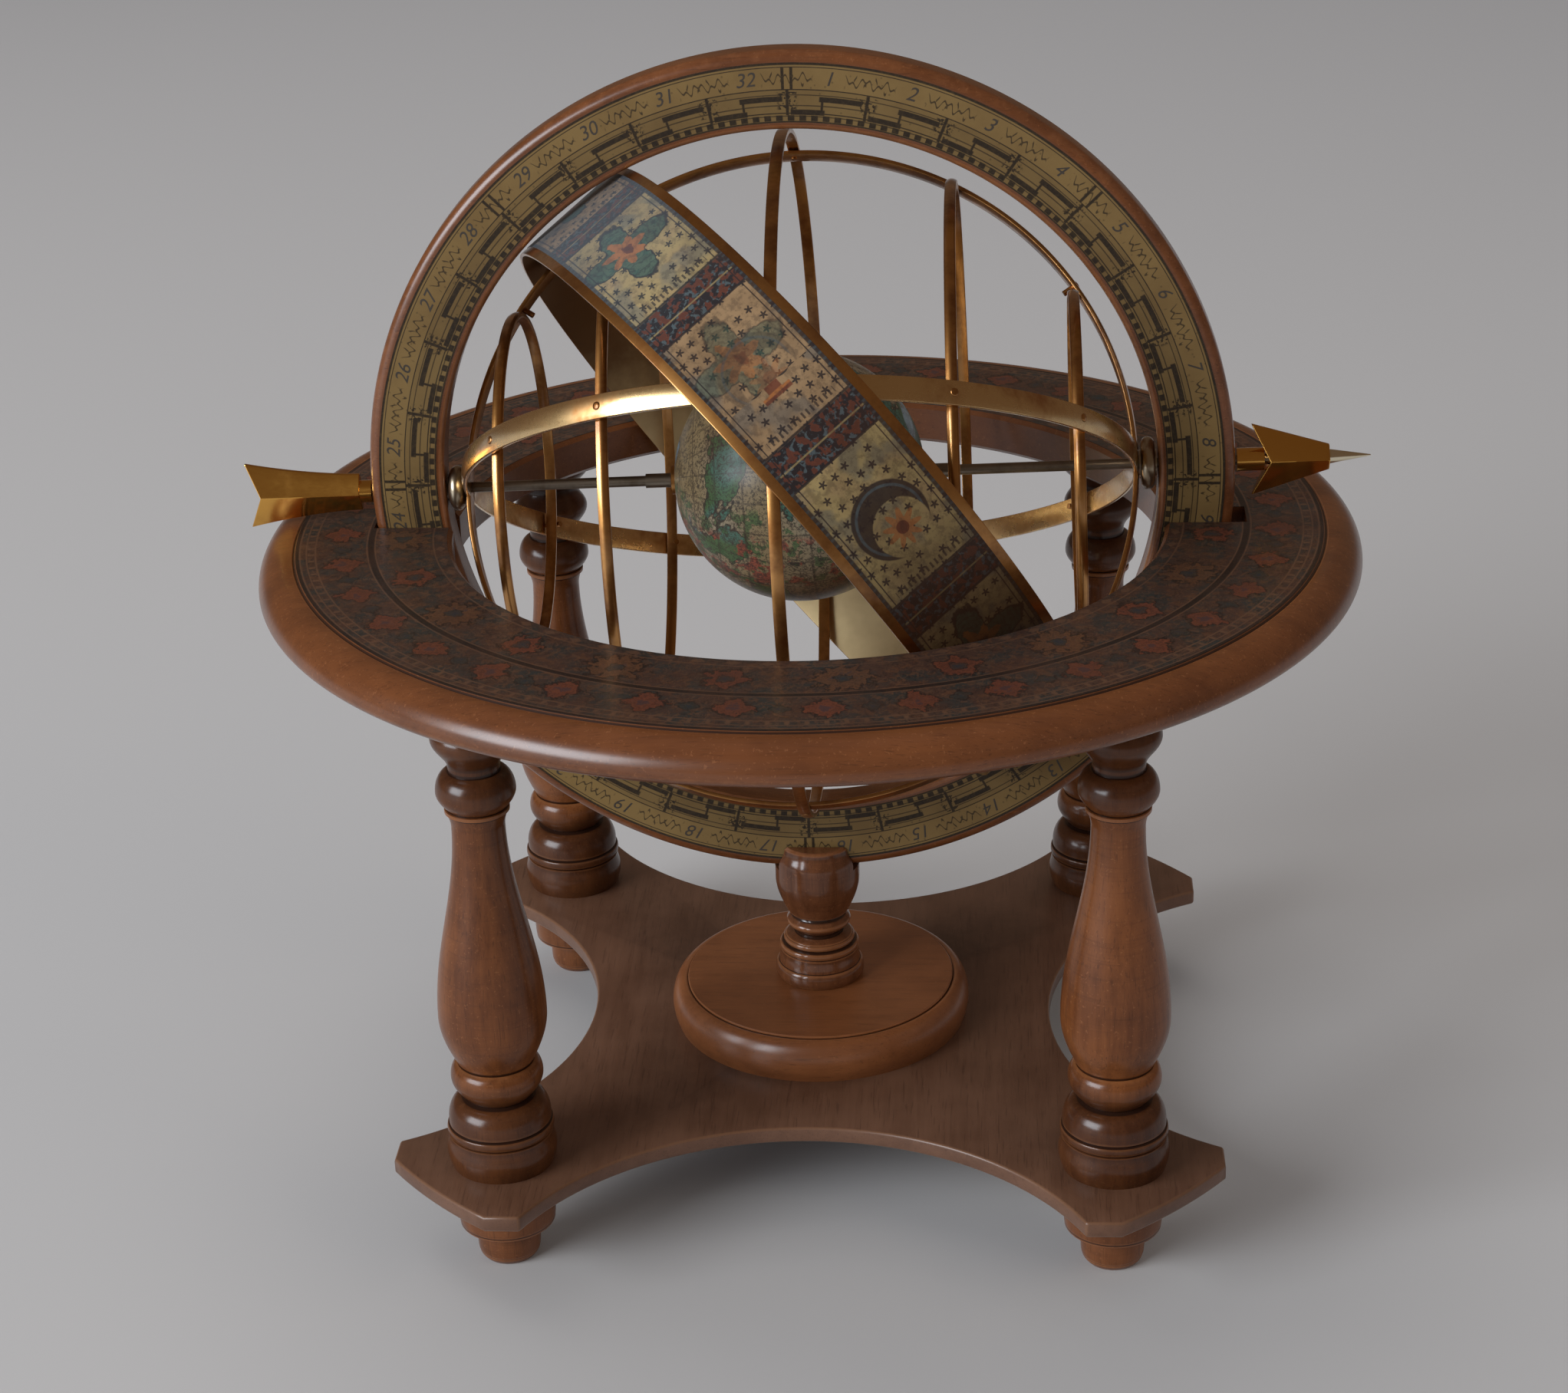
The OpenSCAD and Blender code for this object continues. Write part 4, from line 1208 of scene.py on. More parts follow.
    def urn(self, sheet: Sheet, colour: Ink, u: Ink, v: Ink, where: Ink) -> Ink:
        """Lays a striped two-handled urn over the colour where asked."""
        side = sheet.size(v)
        belly = sheet.below(sheet.length(u * 1.15, v), 5.0, 0.15)
        neck = sheet.below(side, 1.5, 0.1) * sheet.between(u, -1.0, 8.4, 0.1)
        lip = sheet.below(side, 3.1, 0.1) * sheet.line(u, 8.2, 0.6, 0.1)
        foot = sheet.below(side, 3.0, 0.1) * sheet.line(u, -5.6, 0.7, 0.1)
        handles = sheet.line(sheet.length(u - 3.6, side - 3.2), 2.3, 0.35, 0.1)
        shape = sheet.either(belly, neck, lip, foot) * where
        stripes = sheet.line(sheet.fraction(u * 0.45), 0.5, 0.14, 0.06) * shape
        return sheet.layers(colour, (handles * where * 0.9, self.ink), (shape * 0.92, self.rust),
                            (stripes * 0.85, self.orange))


@dataclass(frozen=True)
class GlobeMap(Finish):
    """The little globe's old map of made-up lands."""

    title: str
    sea: Colour = (0.200, 0.140, 0.066)
    haze: Colour = (0.255, 0.215, 0.148)
    teal: Colour = (0.030, 0.115, 0.085)
    green: Colour = (0.030, 0.090, 0.030)
    blue: Colour = (0.170, 0.235, 0.280)
    red: Colour = (0.230, 0.045, 0.028)
    # Colour of the stains and of the painted shade towards the lower right.
    brown: Colour = (0.080, 0.034, 0.015)
    ink: Colour = (0.026, 0.020, 0.016)
    meridians: int = 24
    net_deg: float = 15.0
    varnish: Varnish = Varnish(0.32, 0.15, 0.2, 0.15, 0.2, 0.1)

    def draw(self, sheet: Sheet, shader: Node) -> None:
        """Draws seas, lands in four colours, coasts, scribbles, a fine net of lines, specks, stains, and
        painted shade towards the lower right.
        """
        place = sheet.place(ROD)
        x, y, z = sheet.split(place)
        age = sheet.use(AGE, Place=place)
        shape = sheet.noise(place, 0.042, 5.0, 0.62, 0.4)
        shore = sheet.between(shape, 0.455, 0.5, 0.01)
        zone = sheet.noise(place, 0.03, 1.0)
        lands = sheet.layers(
            self.green, (sheet.above(zone, 0.5, 0.02), self.teal),
            (sheet.above(sheet.noise(sheet.join(x, y, z + 60.0), 0.05, 1.0), 0.56, 0.01), self.blue),
            (sheet.below(z + sheet.noise(place, 0.05) * 14.0, 1.0, 1.0), self.green))
        blooms = sheet.above(sheet.noise(place, 0.17, 3.0, 0.6), 0.53, 0.015) * sheet.between(
            z, -19.0, -5.0, 1.5)
        sprigs = sheet.above(sheet.noise(sheet.join(x + 40.0, y, z), 0.24, 3.0, 0.6), 0.57, 0.015)
        specks = sheet.above(sheet.noise(place, 1.5, 3.0, 0.75), 0.55, 0.03)
        scribble = sheet.line(sheet.noise(place, 0.3, 3.0, 0.6, 1.0), 0.5, 0.02, 0.012)
        polar = sheet.use(POLAR, Across=y, Up=z)
        height = sheet.math("ARCTAN2", x, polar["Radius"]) * (180 / math.pi)
        net = sheet.either(
            sheet.line(sheet.fraction(polar["Turn"] * float(self.meridians)), 0.5, 0.03, 0.014),
            sheet.line(sheet.fraction(height / self.net_deg), 0.5, 0.035, 0.016))
        colour = sheet.layers(
            self.sea, (sheet.spread(zone, 0.35, 0.65), self.haze),
            (sheet.above(shape, 0.5, 0.008) * 0.9, lands), (blooms * 0.85, self.red),
            (sprigs * sheet.below(z, 2.0, 1.5) * 0.75, self.green),
            # Painted shade, growing towards the lower right of the globe.
            (sheet.spread(z - x * 0.3, -8.0, -26.0) * 0.7, self.brown),
            (specks * sheet.above(sheet.noise(place, 0.1), 0.36, 0.05) * 0.75, self.ink),
            (scribble * 0.55, self.ink), (net * 0.5, self.ink),
            (sheet.line(sheet.fraction(shape * 16.0), 0.5, 0.06, 0.04) * shore * 0.6, self.ink),
            (sheet.line(shape, 0.5, 0.007, 0.004) * 0.9, self.ink), (age["Stain"] * 0.3, self.brown))
        self.varnish.lay(sheet, shader, colour, age["Fibre"])


@dataclass(frozen=True)
class PlainInk(Finish):
    """Printer's ink for the numbers on the scale."""

    title: str
    ink: Colour = (0.024, 0.018, 0.014)
    faded: Colour = (0.075, 0.055, 0.035)

    def draw(self, sheet: Sheet, shader: Node) -> None:
        """Draws slightly uneven ink."""
        fibre = sheet.use(AGE, Place=sheet.place())["Fibre"]
        colour = sheet.mix(fibre * 0.6, self.ink, self.faded)
        sheet.fill(shader, Base_Color=colour, Roughness=fibre * 0.15 + 0.35)


class Finishes:
    """Every material of the object that needs no size, made once."""

    def __init__(self) -> None:
        """Makes the materials."""
        self.upright_wood = Wood("upright stained wood", (0.084, 0.026, 0.008), (0.190, 0.064, 0.020), Grain.UP,
                                 coat=0.65, gloss=0.22, turning=0.18).make()
        # The legs get painted shade below 54 mm and above 116 mm.
        self.leg_wood = Wood("leg stained wood", (0.062, 0.017, 0.005), (0.196, 0.064, 0.018), Grain.UP,
                             coat=0.65, gloss=0.22, turning=0.18, painted_shade_heights=(54.0, 116.0)).make()
        self.column_wood = Wood("column dark wood", (0.044, 0.013, 0.005), (0.185, 0.065, 0.025), Grain.UP,
                                coat=0.9, gloss=0.16, turning=0.18).make()
        self.ring_wood = Wood("ring stained wood", (0.086, 0.026, 0.008), (0.154, 0.049, 0.014), Grain.ACROSS,
                              stretch=18.0, coat=1.0, gloss=0.27).make()
        self.disc_wood = Wood("disc stained wood", (0.135, 0.043, 0.014), (0.240, 0.082, 0.027), Grain.ACROSS,
                              coat=1.0, gloss=0.3).make()
        self.plate_wood = Wood("plate dark wood", (0.084, 0.036, 0.019), (0.150, 0.071, 0.040), Grain.DEPTH,
                               stretch=16.0, rough=0.38, coat=0.5, shine=0.25, gloss=0.3,
                               rub=(0.17, 0.078, 0.036)).make()
        self.bare_wood = Wood("bare beech", (0.42, 0.28, 0.15), (0.60, 0.44, 0.27), Grain.UP, rough=0.6,
                              coat=0.0).make()
        self.brass = Metal("aged brass", (0.58, 0.285, 0.085), (0.25, 0.100, 0.028), 0.55, 0.29,
                           lacquer=0.6).make()
        self.worn_brass = Metal("worn brass", (0.82, 0.57, 0.27), (0.46, 0.20, 0.06), 0.45, 0.26,
                                lacquer=0.9).make()
        self.arrow_brass = Metal("polished brass", (0.80, 0.42, 0.085), (0.46, 0.20, 0.040), 0.35, 0.2).make()
        self.cap = Metal("dark cap", (0.42, 0.35, 0.25), (0.14, 0.11, 0.08), 0.45, 0.30).make()
        self.needle = Metal("pale needle", (0.86, 0.78, 0.58), (0.6, 0.5, 0.3), 0.1, 0.22).make()
        self.rod = Metal("dull rod", (0.27, 0.23, 0.18), (0.12, 0.09, 0.06), 0.5, 0.34).make()
        self.screw = Metal("zinc screw", (0.62, 0.62, 0.62), (0.3, 0.29, 0.28), 0.3, 0.32).make()
        self.lining = Lining("band lining").make()
        self.globe_map = GlobeMap("globe map").make()
        self.numbers = PlainInk("printed numbers").make()


@dataclass
class Feet:
    """The four turned feet."""

    barrel_r: float = 7.5
    barrel_h: float = 7.6
    drum_r: float = 11.6
    drum_h: float = 12.3
    swell: float = 0.3
    tuck: float = 1.0
    tuck_h: float = 1.8
    groove: float = 0.5
    edge: float = 0.4
    segments: int = 96

    def outline(self, height: float) -> Outline:
        """Returns the outline of a foot of this height."""
        barrel = self.barrel_r - self.swell
        drum = self.drum_r - self.swell
        start = height - self.drum_h
        line = Outline([(0, 0)]).to(barrel - self.tuck, 0)
        line.bend(Bend.SWELL, barrel, self.tuck_h).bead(self.swell, self.barrel_h)
        line.to(self.barrel_r - self.groove, self.barrel_h + self.groove)
        line.bend(Bend.SWAY, drum, start).to(drum, start + self.groove)
        return line.bead(self.swell, height - self.edge).to(drum - self.edge, height).to(0, height)

    def build(self, finishes: Finishes) -> None:
        """Builds a foot in each corner."""
        turned_corners("foot", self.outline, self.segments, finishes.upright_wood)


@dataclass
class Legs:
    """The four turned legs between the plate and the flat ring."""

    base_r: float = 12.9
    tuck: float = 0.9
    band_h: float = 8.2
    bead_h: float = 2.9
    block_h: float = 1.2
    dome_h: float = 5.7
    neck_r: float = 7.7
    ring_r: float = 10.8
    ring_h: float = 9.0
    belly_r: float = 12.6
    belly_h: float = 12.4
    waist_r: float = 6.1
    ledge_out: float = 1.3
    ledge_root: float = 0.8
    collar_r: float = 9.1
    collar_h: float = 15.0
    top_neck_r: float = 5.95
    ball_r: float = 9.45
    ball_h: float = 12.8
    pad_r: float = 10.4
    pad_h: float = 7.8
    pad_rim_h: float = 2.5
    fillet: float = 0.7
    groove: float = 0.3
    bead_root: float = 1.2
    block_in: float = 0.9
    dome_edge: float = 0.4
    ring_crest_at: float = 0.6
    ledge_at: float = 0.24
    root_at: float = 0.33
    collar_crest_at: float = 0.59
    collar_end_at: float = 0.92
    ball_crest_at: float = 0.55
    waist_steps: int = 24
    segments: int = 112

    def outline(self, height: float) -> Outline:
        """Returns the outline of a leg of this height."""
        band = self.band_h
        block = band + self.bead_h
        dome = block + self.block_h
        neck = dome + self.dome_h
        seat = neck + self.ring_h
        belly = seat + self.belly_h
        pad = height - self.pad_h
        ball = pad - self.ball_h
        collar = ball - self.collar_h
        low = self.base_r - self.fillet
        root_r = self.base_r - self.bead_root
        strip = self.base_r - self.block_in
        line = Outline([(0, 0)]).to(self.base_r - self.tuck, 0).bend(Bend.SWELL, self.base_r, band / 2)
        line.bend(Bend.SWAY, low, band).to(root_r, band + self.groove)
        line.to(low, band + 2 * self.groove).bead(self.fillet / 2, block - self.groove)
        line.to(root_r, block).to(strip, block + self.groove).to(strip, dome)
        line.bend(Bend.SHOULDER, self.neck_r + 1, neck - self.dome_edge).to(self.neck_r, neck)
        line.bend(Bend.SWELL, self.ring_r, neck + self.ring_crest_at * self.ring_h)
        line.bend(Bend.SHOULDER, self.neck_r + 1.1, seat).bend(Bend.SWELL, self.belly_r, belly)
        line.bend(Bend.SWAY, self.waist_r, collar, self.waist_steps)
        ledge = collar + self.ledge_at * self.collar_h
        root = collar + self.root_at * self.collar_h
        line.bend(Bend.COVE, self.waist_r + self.ledge_root, ledge)
        line.to(self.waist_r + self.ledge_out, ledge + self.groove)
        line.to(self.waist_r + self.ledge_out, root - self.groove).to(self.waist_r + self.ledge_root, root)
        line.bend(Bend.SWELL, self.collar_r, collar + self.collar_crest_at * self.collar_h)
        line.bend(Bend.SHOULDER, self.top_neck_r, collar + self.collar_end_at * self.collar_h)
        line.to(self.top_neck_r, ball).bend(Bend.SWAY, self.ball_r, ball + self.ball_crest_at * self.ball_h)
        line.bend(Bend.SWAY, self.top_neck_r + 1, pad)
        line.bend(Bend.SWAY, self.pad_r, height - self.pad_rim_h)
        return line.to(self.pad_r, height - self.fillet).to(self.pad_r - self.fillet, height).to(0, height)

    def build(self, finishes: Finishes) -> None:
        """Builds a leg in each corner."""
        turned_corners("leg", self.outline, self.segments, finishes.leg_wood)


@dataclass
class BasePlate:
    """The flat plate with a hollow in each side and trimmed tips."""

    trim_r: float = 121.7
    hollow_r: float = 72.3
    hollow_at: float = 130.0
    edge: float = 0.7
    sharp_deg: float = 50.0
    edge_faces: int = 3
    sink_r: float = 4.3
    sink_rim_h: float = 0.45
    sink_h: float = 2.55
    screw_r: float = 2.2
    hollow_steps: int = 48
    tip_steps: int = 12
    hole_segments: int = 48

    def outline(self, half: float) -> list[Point]:
        """Gives the plate's outline.

        Args:
            half: Half the width of the blank.

        Returns:
            The points of the outline, counter-clockwise.
        """
        lip = math.sqrt(self.hollow_r ** 2 - (self.hollow_at - half) ** 2)
        tip = math.atan2(math.sqrt(self.trim_r ** 2 - half ** 2), half)
        start = math.atan2(lip, half - self.hollow_at)
        points = []
        for quarter in range(4):
            turn = quarter * math.pi / 2
            side = []
            for i in range(self.hollow_steps + 1):
                angle = -start + (start * 2 - 2 * math.pi) * i / self.hollow_steps
                side.append((self.hollow_at + self.hollow_r * math.cos(angle), self.hollow_r * math.sin(angle)))
            side.sort(key=lambda p: p[1])
            for i in range(self.tip_steps + 1):
                angle = tip + (math.pi / 2 - 2 * tip) * i / self.tip_steps
                side.append((self.trim_r * math.cos(angle), self.trim_r * math.sin(angle)))
            points += [(x * math.cos(turn) - y * math.sin(turn), x * math.sin(turn) + y * math.cos(turn))
                       for x, y in side]
        return points

    def build(self, finishes: Finishes) -> None:
        """Builds the plate with worn edges, a screw hole below, and dresses what is hidden in it."""
        low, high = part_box("base_plate")
        form = bmesh.new()
        verts = [form.verts.new(Vector((x * MM, y * MM, low.z))) for x, y in self.outline(high.x / MM)]
        face = form.faces.new(verts)
        raised = bmesh.ops.extrude_face_region(form, geom=[face])["geom"]
        bmesh.ops.translate(form, vec=(0, 0, high.z - low.z),
                            verts=[v for v in raised if isinstance(v, bmesh.types.BMVert)])
        bmesh.ops.recalc_face_normals(form, faces=form.faces)
        soften(form, self.edge, self.sharp_deg, self.edge_faces)
        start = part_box("pedestal_screw")[0].z / MM
        top = high.z / MM + OVERCUT
        hole = Outline([(0, start - OVERCUT)]).to(self.sink_r, start - OVERCUT)
        hole.to(self.sink_r, start + self.sink_rim_h).to(self.screw_r, start + self.sink_h)
        hole.to(self.screw_r, top).to(0, top)
        form = carve(form, [revolve(hole.points, False, self.hole_segments)])
        set_up("plate_board", form, Body.STAND, finishes.plate_wood, "base_plate",
               self.sharp_deg)
        dress(finishes.bare_wood, "lower_dowels", "upper_dowels")
        dress(finishes.screw, "pedestal_screw")


@dataclass
class Pedestal:
    """The round disc and the turned column with its slotted cup.

    The marks are the heights of the column's turned steps, as shares of the height below the cup.
    """

    disc_r: float = 37.4
    disc_top_r: float = 33.4
    disc_tuck: float = 1.0
    disc_step: float = 0.55
    cup_r: float = 10.5
    cup_h: float = 19.3
    foot_r: float = 11.1
    foot_bead_out: float = 0.9
    foot_bead_at: float = 0.55
    steps_in: Point = (1.7, 2.7)
    sway_out: float = 0.35
    neck_r: float = 6.0
    bead_out: float = 0.5
    stem_out: float = 2.0
    cup_root: float = 1.5
    cup_wall_at: float = 0.72
    cup_crown: float = 1.3
    cup_break: float = 0.6
    marks: tuple[float, ...] = (0.41, 0.43, 0.52, 0.54, 0.62, 0.67, 0.69, 0.85, 0.97)
    slot_w: float = 10.14
    slot_depth: float = 6.4
    disc_crest_at: float = 0.42
    disc_segments: int = 160
    column_segments: int = 112

    def disc_outline(self, height: float) -> Outline:
        """Returns the disc's outline for this height."""
        line = Outline([(0, 0)]).to(self.disc_r - self.disc_tuck, 0)
        line.bend(Bend.SWELL, self.disc_r, height * self.disc_crest_at)
        line.bend(Bend.SHOULDER, self.disc_top_r + self.disc_step, height - self.disc_step)
        broken = 0.4 * self.disc_step
        line.to(self.disc_top_r, height - self.disc_step - broken).to(self.disc_top_r, height - broken)
        return line.to(self.disc_top_r - broken, height).to(0, height)

    def column_outline(self, height: float) -> Outline:
        """Returns the column's outline for this height."""
        cup = height - self.cup_h
        second, third = (self.foot_r - step for step in self.steps_in)
        out = self.bead_out
        marks = [share * cup for share in self.marks]
        line = Outline([(0, 0)]).to(self.foot_r - self.foot_bead_out, 0)
        line.bead(self.foot_bead_out, marks[0] * self.foot_bead_at)
        line.bend(Bend.SWAY, second + self.sway_out, marks[0])
        line.to(second, marks[1]).bead(out, marks[2]).to(third, marks[3]).bead(out, marks[4])
        line.bend(Bend.COVE, self.neck_r, marks[5]).to(self.neck_r, marks[6])
        line.bend(Bend.SWAY, self.neck_r + self.stem_out, marks[7])
        line.bend(Bend.SWAY, self.neck_r + out, marks[8])
        line.to(self.neck_r + self.cup_root, cup).bend(Bend.SWELL, self.cup_r, cup + self.cup_h / 2)
        line.to(self.cup_r, cup + self.cup_wall_at * self.cup_h)
        crown = self.cup_r - self.cup_crown
        line.bend(Bend.SWAY, crown, height - self.cup_break)
        return line.to(crown - self.cup_break, height).to(0, height)

    def build(self, finishes: Finishes) -> None:
        """Builds the disc and the column."""
        low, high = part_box("pedestal_disc")
        place = Matrix.Translation((0, 0, low.z / MM))
        form = revolve(self.disc_outline((high.z - low.z) / MM).points, False, self.disc_segments, place)
        set_up("turned_disc", form, Body.STAND, finishes.disc_wood, "pedestal_disc")
        low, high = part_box("pedestal_column")
        place = Matrix.Translation((0, 0, low.z / MM))
        form = revolve(self.column_outline((high.z - low.z) / MM).points, False, self.column_segments, place)
        top = high.z / MM
        reach = self.cup_r + OVERCUT
        form = carve(form, [box_form(Vector((-reach, -self.slot_w / 2, top - self.slot_depth)),
                                     Vector((reach, self.slot_w / 2, top + OVERCUT)))])
        set_up("turned_column", form, Body.STAND, finishes.column_wood, "pedestal_column")


@dataclass
class FlatRing:
    """The flat ring with its turned edge, its notches and its dark print."""

    width: float = 45.7
    edge_w: float = 9.1
    inner_margin: float = 1.1
    nose_h: float = 3.1
    nose_round: float = 5.0
    crown_round: float = 8.0
    groove: float = 0.5
    drop: float = 0.3
    inner_break: float = 1.0
    slot_w: float = 10.14
    notch_gap: float = 0.4
    notch_overcut: float = 3.0
    crown_steps: int = 18
    segments: int = 256
    sharp_deg: float = 38.0

    def section(self, outer: float, low: float, high: float) -> list[Point]:
        """Gives the ring's section.

        Args:
            outer: Outer radius.
            low: Height of the underside.
            high: Height of the top.

        Returns:
            The closed section, as radius and height.
        """
        inner = outer - self.width
        label = outer - self.edge_w
        nose = low + self.nose_h
        line = Outline([(inner + self.inner_break, low), (outer - self.nose_round, low)])
        line.bend(Bend.HEEL, outer, nose)
        line.bend(Bend.SHOULDER, outer - self.crown_round, high - self.drop, self.crown_steps)
        line.to(label + 2 * self.groove, high - self.drop).to(label + self.groove, high - self.groove)
        line.to(label, high).to(inner + self.inner_break, high).to(inner, high - self.inner_break)
        return line.to(inner, low + self.inner_break).points

    def build(self, finishes: Finishes) -> None:
        """Builds the wooden ring and dresses its print."""
        low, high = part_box("horizon_ring")
        outer = high.x / MM
        z0, z1 = low.z / MM, high.z / MM
        ring = node_size("meridian_ring").x / 2
        rise = ROD.translation.z - z1
        notch = math.sqrt(ring ** 2 - rise ** 2) + abs(ROD.translation.x) + self.notch_gap
        inner = outer - self.width
        cutters = [box_form(Vector((side * notch, -self.slot_w / 2, z0 - OVERCUT)),
                            Vector((side * (inner - self.notch_overcut), self.slot_w / 2, z1 + OVERCUT)))
                   for side in (-1, 1)]
        form = carve(revolve(self.section(outer, z0, z1), True, self.segments), cutters)
        set_up("flat_ring", form, Body.STAND, finishes.ring_wood, "horizon_ring",
               self.sharp_deg)
        scale = HorizonPrint("horizon print", inner + self.inner_margin, outer - self.edge_w)
        dress(scale.make(), "horizon_scale")


@dataclass
class UprightRing:
    """The upright wooden ring with a graduated print and numbers on both faces."""

    width: float = 17.8
    outer_round: float = 2.4
    inner_round: float = 1.4
    margin: float = 2.5
    inner_margin: float = 1.8
    bush_r: float = 2.5
    numbers: int = 32
    number_size: float = 4.6
    number_in: float = 5.0
    number_lean: float = 0.25
    number_rise: float = 0.02
    number_steps: int = 3
    segments: int = 256
    bore_segments: int = 40
    sharp_deg: float = 38.0

    def section(self, outer: float, thick: float) -> list[Point]:
        """Returns the ring's section, as radius and distance from its middle plane."""
        line = Outline([], steps=8)
        return line.corners(outer - self.width, outer, thick / 2, self.inner_round, self.outer_round).points

    def number_form(self, front: bool, outer: float, paper: float) -> Form:
        """Makes the numbers on one face.

        Args:
            front: Whether they go on the face towards the viewer.
            outer: Outer radius of the ring.
            paper: Distance of the print's surface from the ring's middle plane.

        Returns:
            One form with every number, in metres.
        """
        form = bmesh.new()
        middle = Matrix.Translation(ROD.translation)
        face = UPRIGHT if front else Matrix.Rotation(math.radians(180), 4, "Z") @ UPRIGHT
        radius = outer - self.margin - self.number_in
        for i in range(self.numbers):
            turn = -2 * math.pi * (i + 0.5) / self.numbers
            text = bpy.data.curves.new("number", "FONT")
            text.body = str(i + 1)
            text.size = self.number_size
            text.shear = self.number_lean
            text.align_x = "CENTER"
            text.extrude = self.number_rise / 2
            text.resolution_u = self.number_steps
            holder = bpy.data.objects.new("number", text)
            mesh = bpy.data.meshes.new_from_object(holder)
            place = middle @ face @ Matrix.Rotation(turn, 4, "Z") @ Matrix.Translation((0, radius, paper))
            mesh.transform(Matrix.Scale(MM, 4) @ place)
            form.from_mesh(mesh)
            bpy.data.objects.remove(holder)
            bpy.data.curves.remove(text)
            bpy.data.meshes.remove(mesh)
        return form

    def build(self, finishes: Finishes) -> None:
        """Builds the ring and the numbers, and dresses the prints and bushes."""
        size = node_size("meridian_ring")
        outer, thick = size.x / 2, size.y
        place = Matrix.Translation(ROD.translation) @ UPRIGHT
        ring = revolve(self.section(outer, thick), True, self.segments, place)
        end = outer + OVERCUT
        bore = Outline([(0, -end)]).to(self.bush_r, -end).to(self.bush_r, end).to(0, end)
        form = carve(ring, [revolve(bore.points, False, self.bore_segments, ROD @ SIDEWAYS)])
        set_up("upright_ring", form, Body.MERIDIAN, finishes.ring_wood, "meridian_ring",
               self.sharp_deg)
        inner = outer - self.width + self.inner_margin
        scale = MeridianPrint("meridian print", inner, outer - self.margin).make()
        for side in ("front", "back"):
            node = f"meridian_scale_{side}"
            dress(scale, node)
            paper = node_size(node).y + thick / 2 + self.number_rise / 2
            form = self.number_form(side == "front", outer, paper)
            set_up(f"ring_numbers_{side}", form, Body.MERIDIAN, finishes.numbers)
        dress(finishes.brass, "rod_bush_left", "rod_bush_right")


@dataclass
class Arrow:
    """The rod with the arrow's tail and head."""

    ring_r: float = 101.8
    tail_gap: float = 3.2
    tail_l: float = 27.5
    tail_half: float = 8.0
    tail_root_half: float = 4.5
    tail_notch: float = 3.5
    tail_flare: float = 1.7
    ridge: float = 3.0
    edge: float = 0.5
    head_gap: float = 3.8
    head_l: float = 18.0
    head_half: float = 8.7
    head_front_half: float = 3.0
    head_notch: float = 4.3
    rows: int = 18
    softness: float = 0.22
    soft_deg: float = 22.0
    sharp_deg: float = 20.0

    def blade(self, start: float, end: float, start_notch: float, end_notch: float,
              half: Callable[[float], float], place: Matrix) -> Form:
        """Makes a ridged blade of the arrow.

        Args:
            start: Where the edges start along the rod.
            end: Where they end.
            start_notch: How far the ridge starts after the edges.
            end_notch: How far the ridge ends before the edges.
            half: Half the height at a share of the length.
            place: Where the blade goes, in millimetres.

        Returns:
            The blade, in metres.
        """
        form = bmesh.new()
        loops = []
        for i in range(self.rows + 1):
            t = i / self.rows
            x = start + (end - start) * t
            mid = start + start_notch + (end - end_notch - start - start_notch) * t
            tall = half(t)
            corners = [(x, -self.edge, tall), (mid, -self.ridge, 0), (x, -self.edge, -tall),
                       (x, self.edge, -tall), (mid, self.ridge, 0), (x, self.edge, tall)]
            loops.append([form.verts.new(place @ Vector(corner) * MM) for corner in corners])
        for one, two in zip(loops, loops[1:]):
            for i in range(len(one)):
                j = (i + 1) % len(one)
                form.faces.new((one[i], one[j], two[j], two[i]))
        for loop in (loops[0], loops[-1]):
            form.faces.new((loop[0], loop[1], loop[4], loop[5]))
            form.faces.new((loop[1], loop[2], loop[3], loop[4]))
        bmesh.ops.recalc_face_normals(form, faces=form.faces)
        soften(form, self.softness, self.soft_deg)
        return form

    def tail_at(self, share: float) -> float:
        """Returns half the tail's height at a share of its length."""
        return self.tail_root_half + (self.tail_half - self.tail_root_half) * share ** self.tail_flare

    def head_at(self, share: float) -> float:
        """Returns half the head's height at a share of its length."""
        return self.head_half + (self.head_front_half - self.head_half) * share

    def build(self, finishes: Finishes) -> None:
        """Builds tail and head, and dresses rod, collars and needle."""
        root = self.ring_r + self.tail_gap
        mirror = Matrix.Diagonal((-1, 1, 1, 1))
        tail = self.blade(root, root + self.tail_l, 0, self.tail_notch, self.tail_at, ROD @ mirror)
        barb = self.ring_r + self.head_gap
        head = self.blade(barb, barb + self.head_l, self.head_notch, 0, self.head_at, ROD)
        for kind, form in (("tail", tail), ("head", head)):
            set_up(f"{kind}_blade", form, Body.SPHERE, finishes.arrow_brass, f"arrow_{kind}",
                   self.sharp_deg)
        dress(finishes.rod, "axis_rod", "globe_sleeve_left", "globe_sleeve_right")
        dress(finishes.needle, "arrow_needle")
        dress(finishes.arrow_brass, "tail_collar", "head_collar")


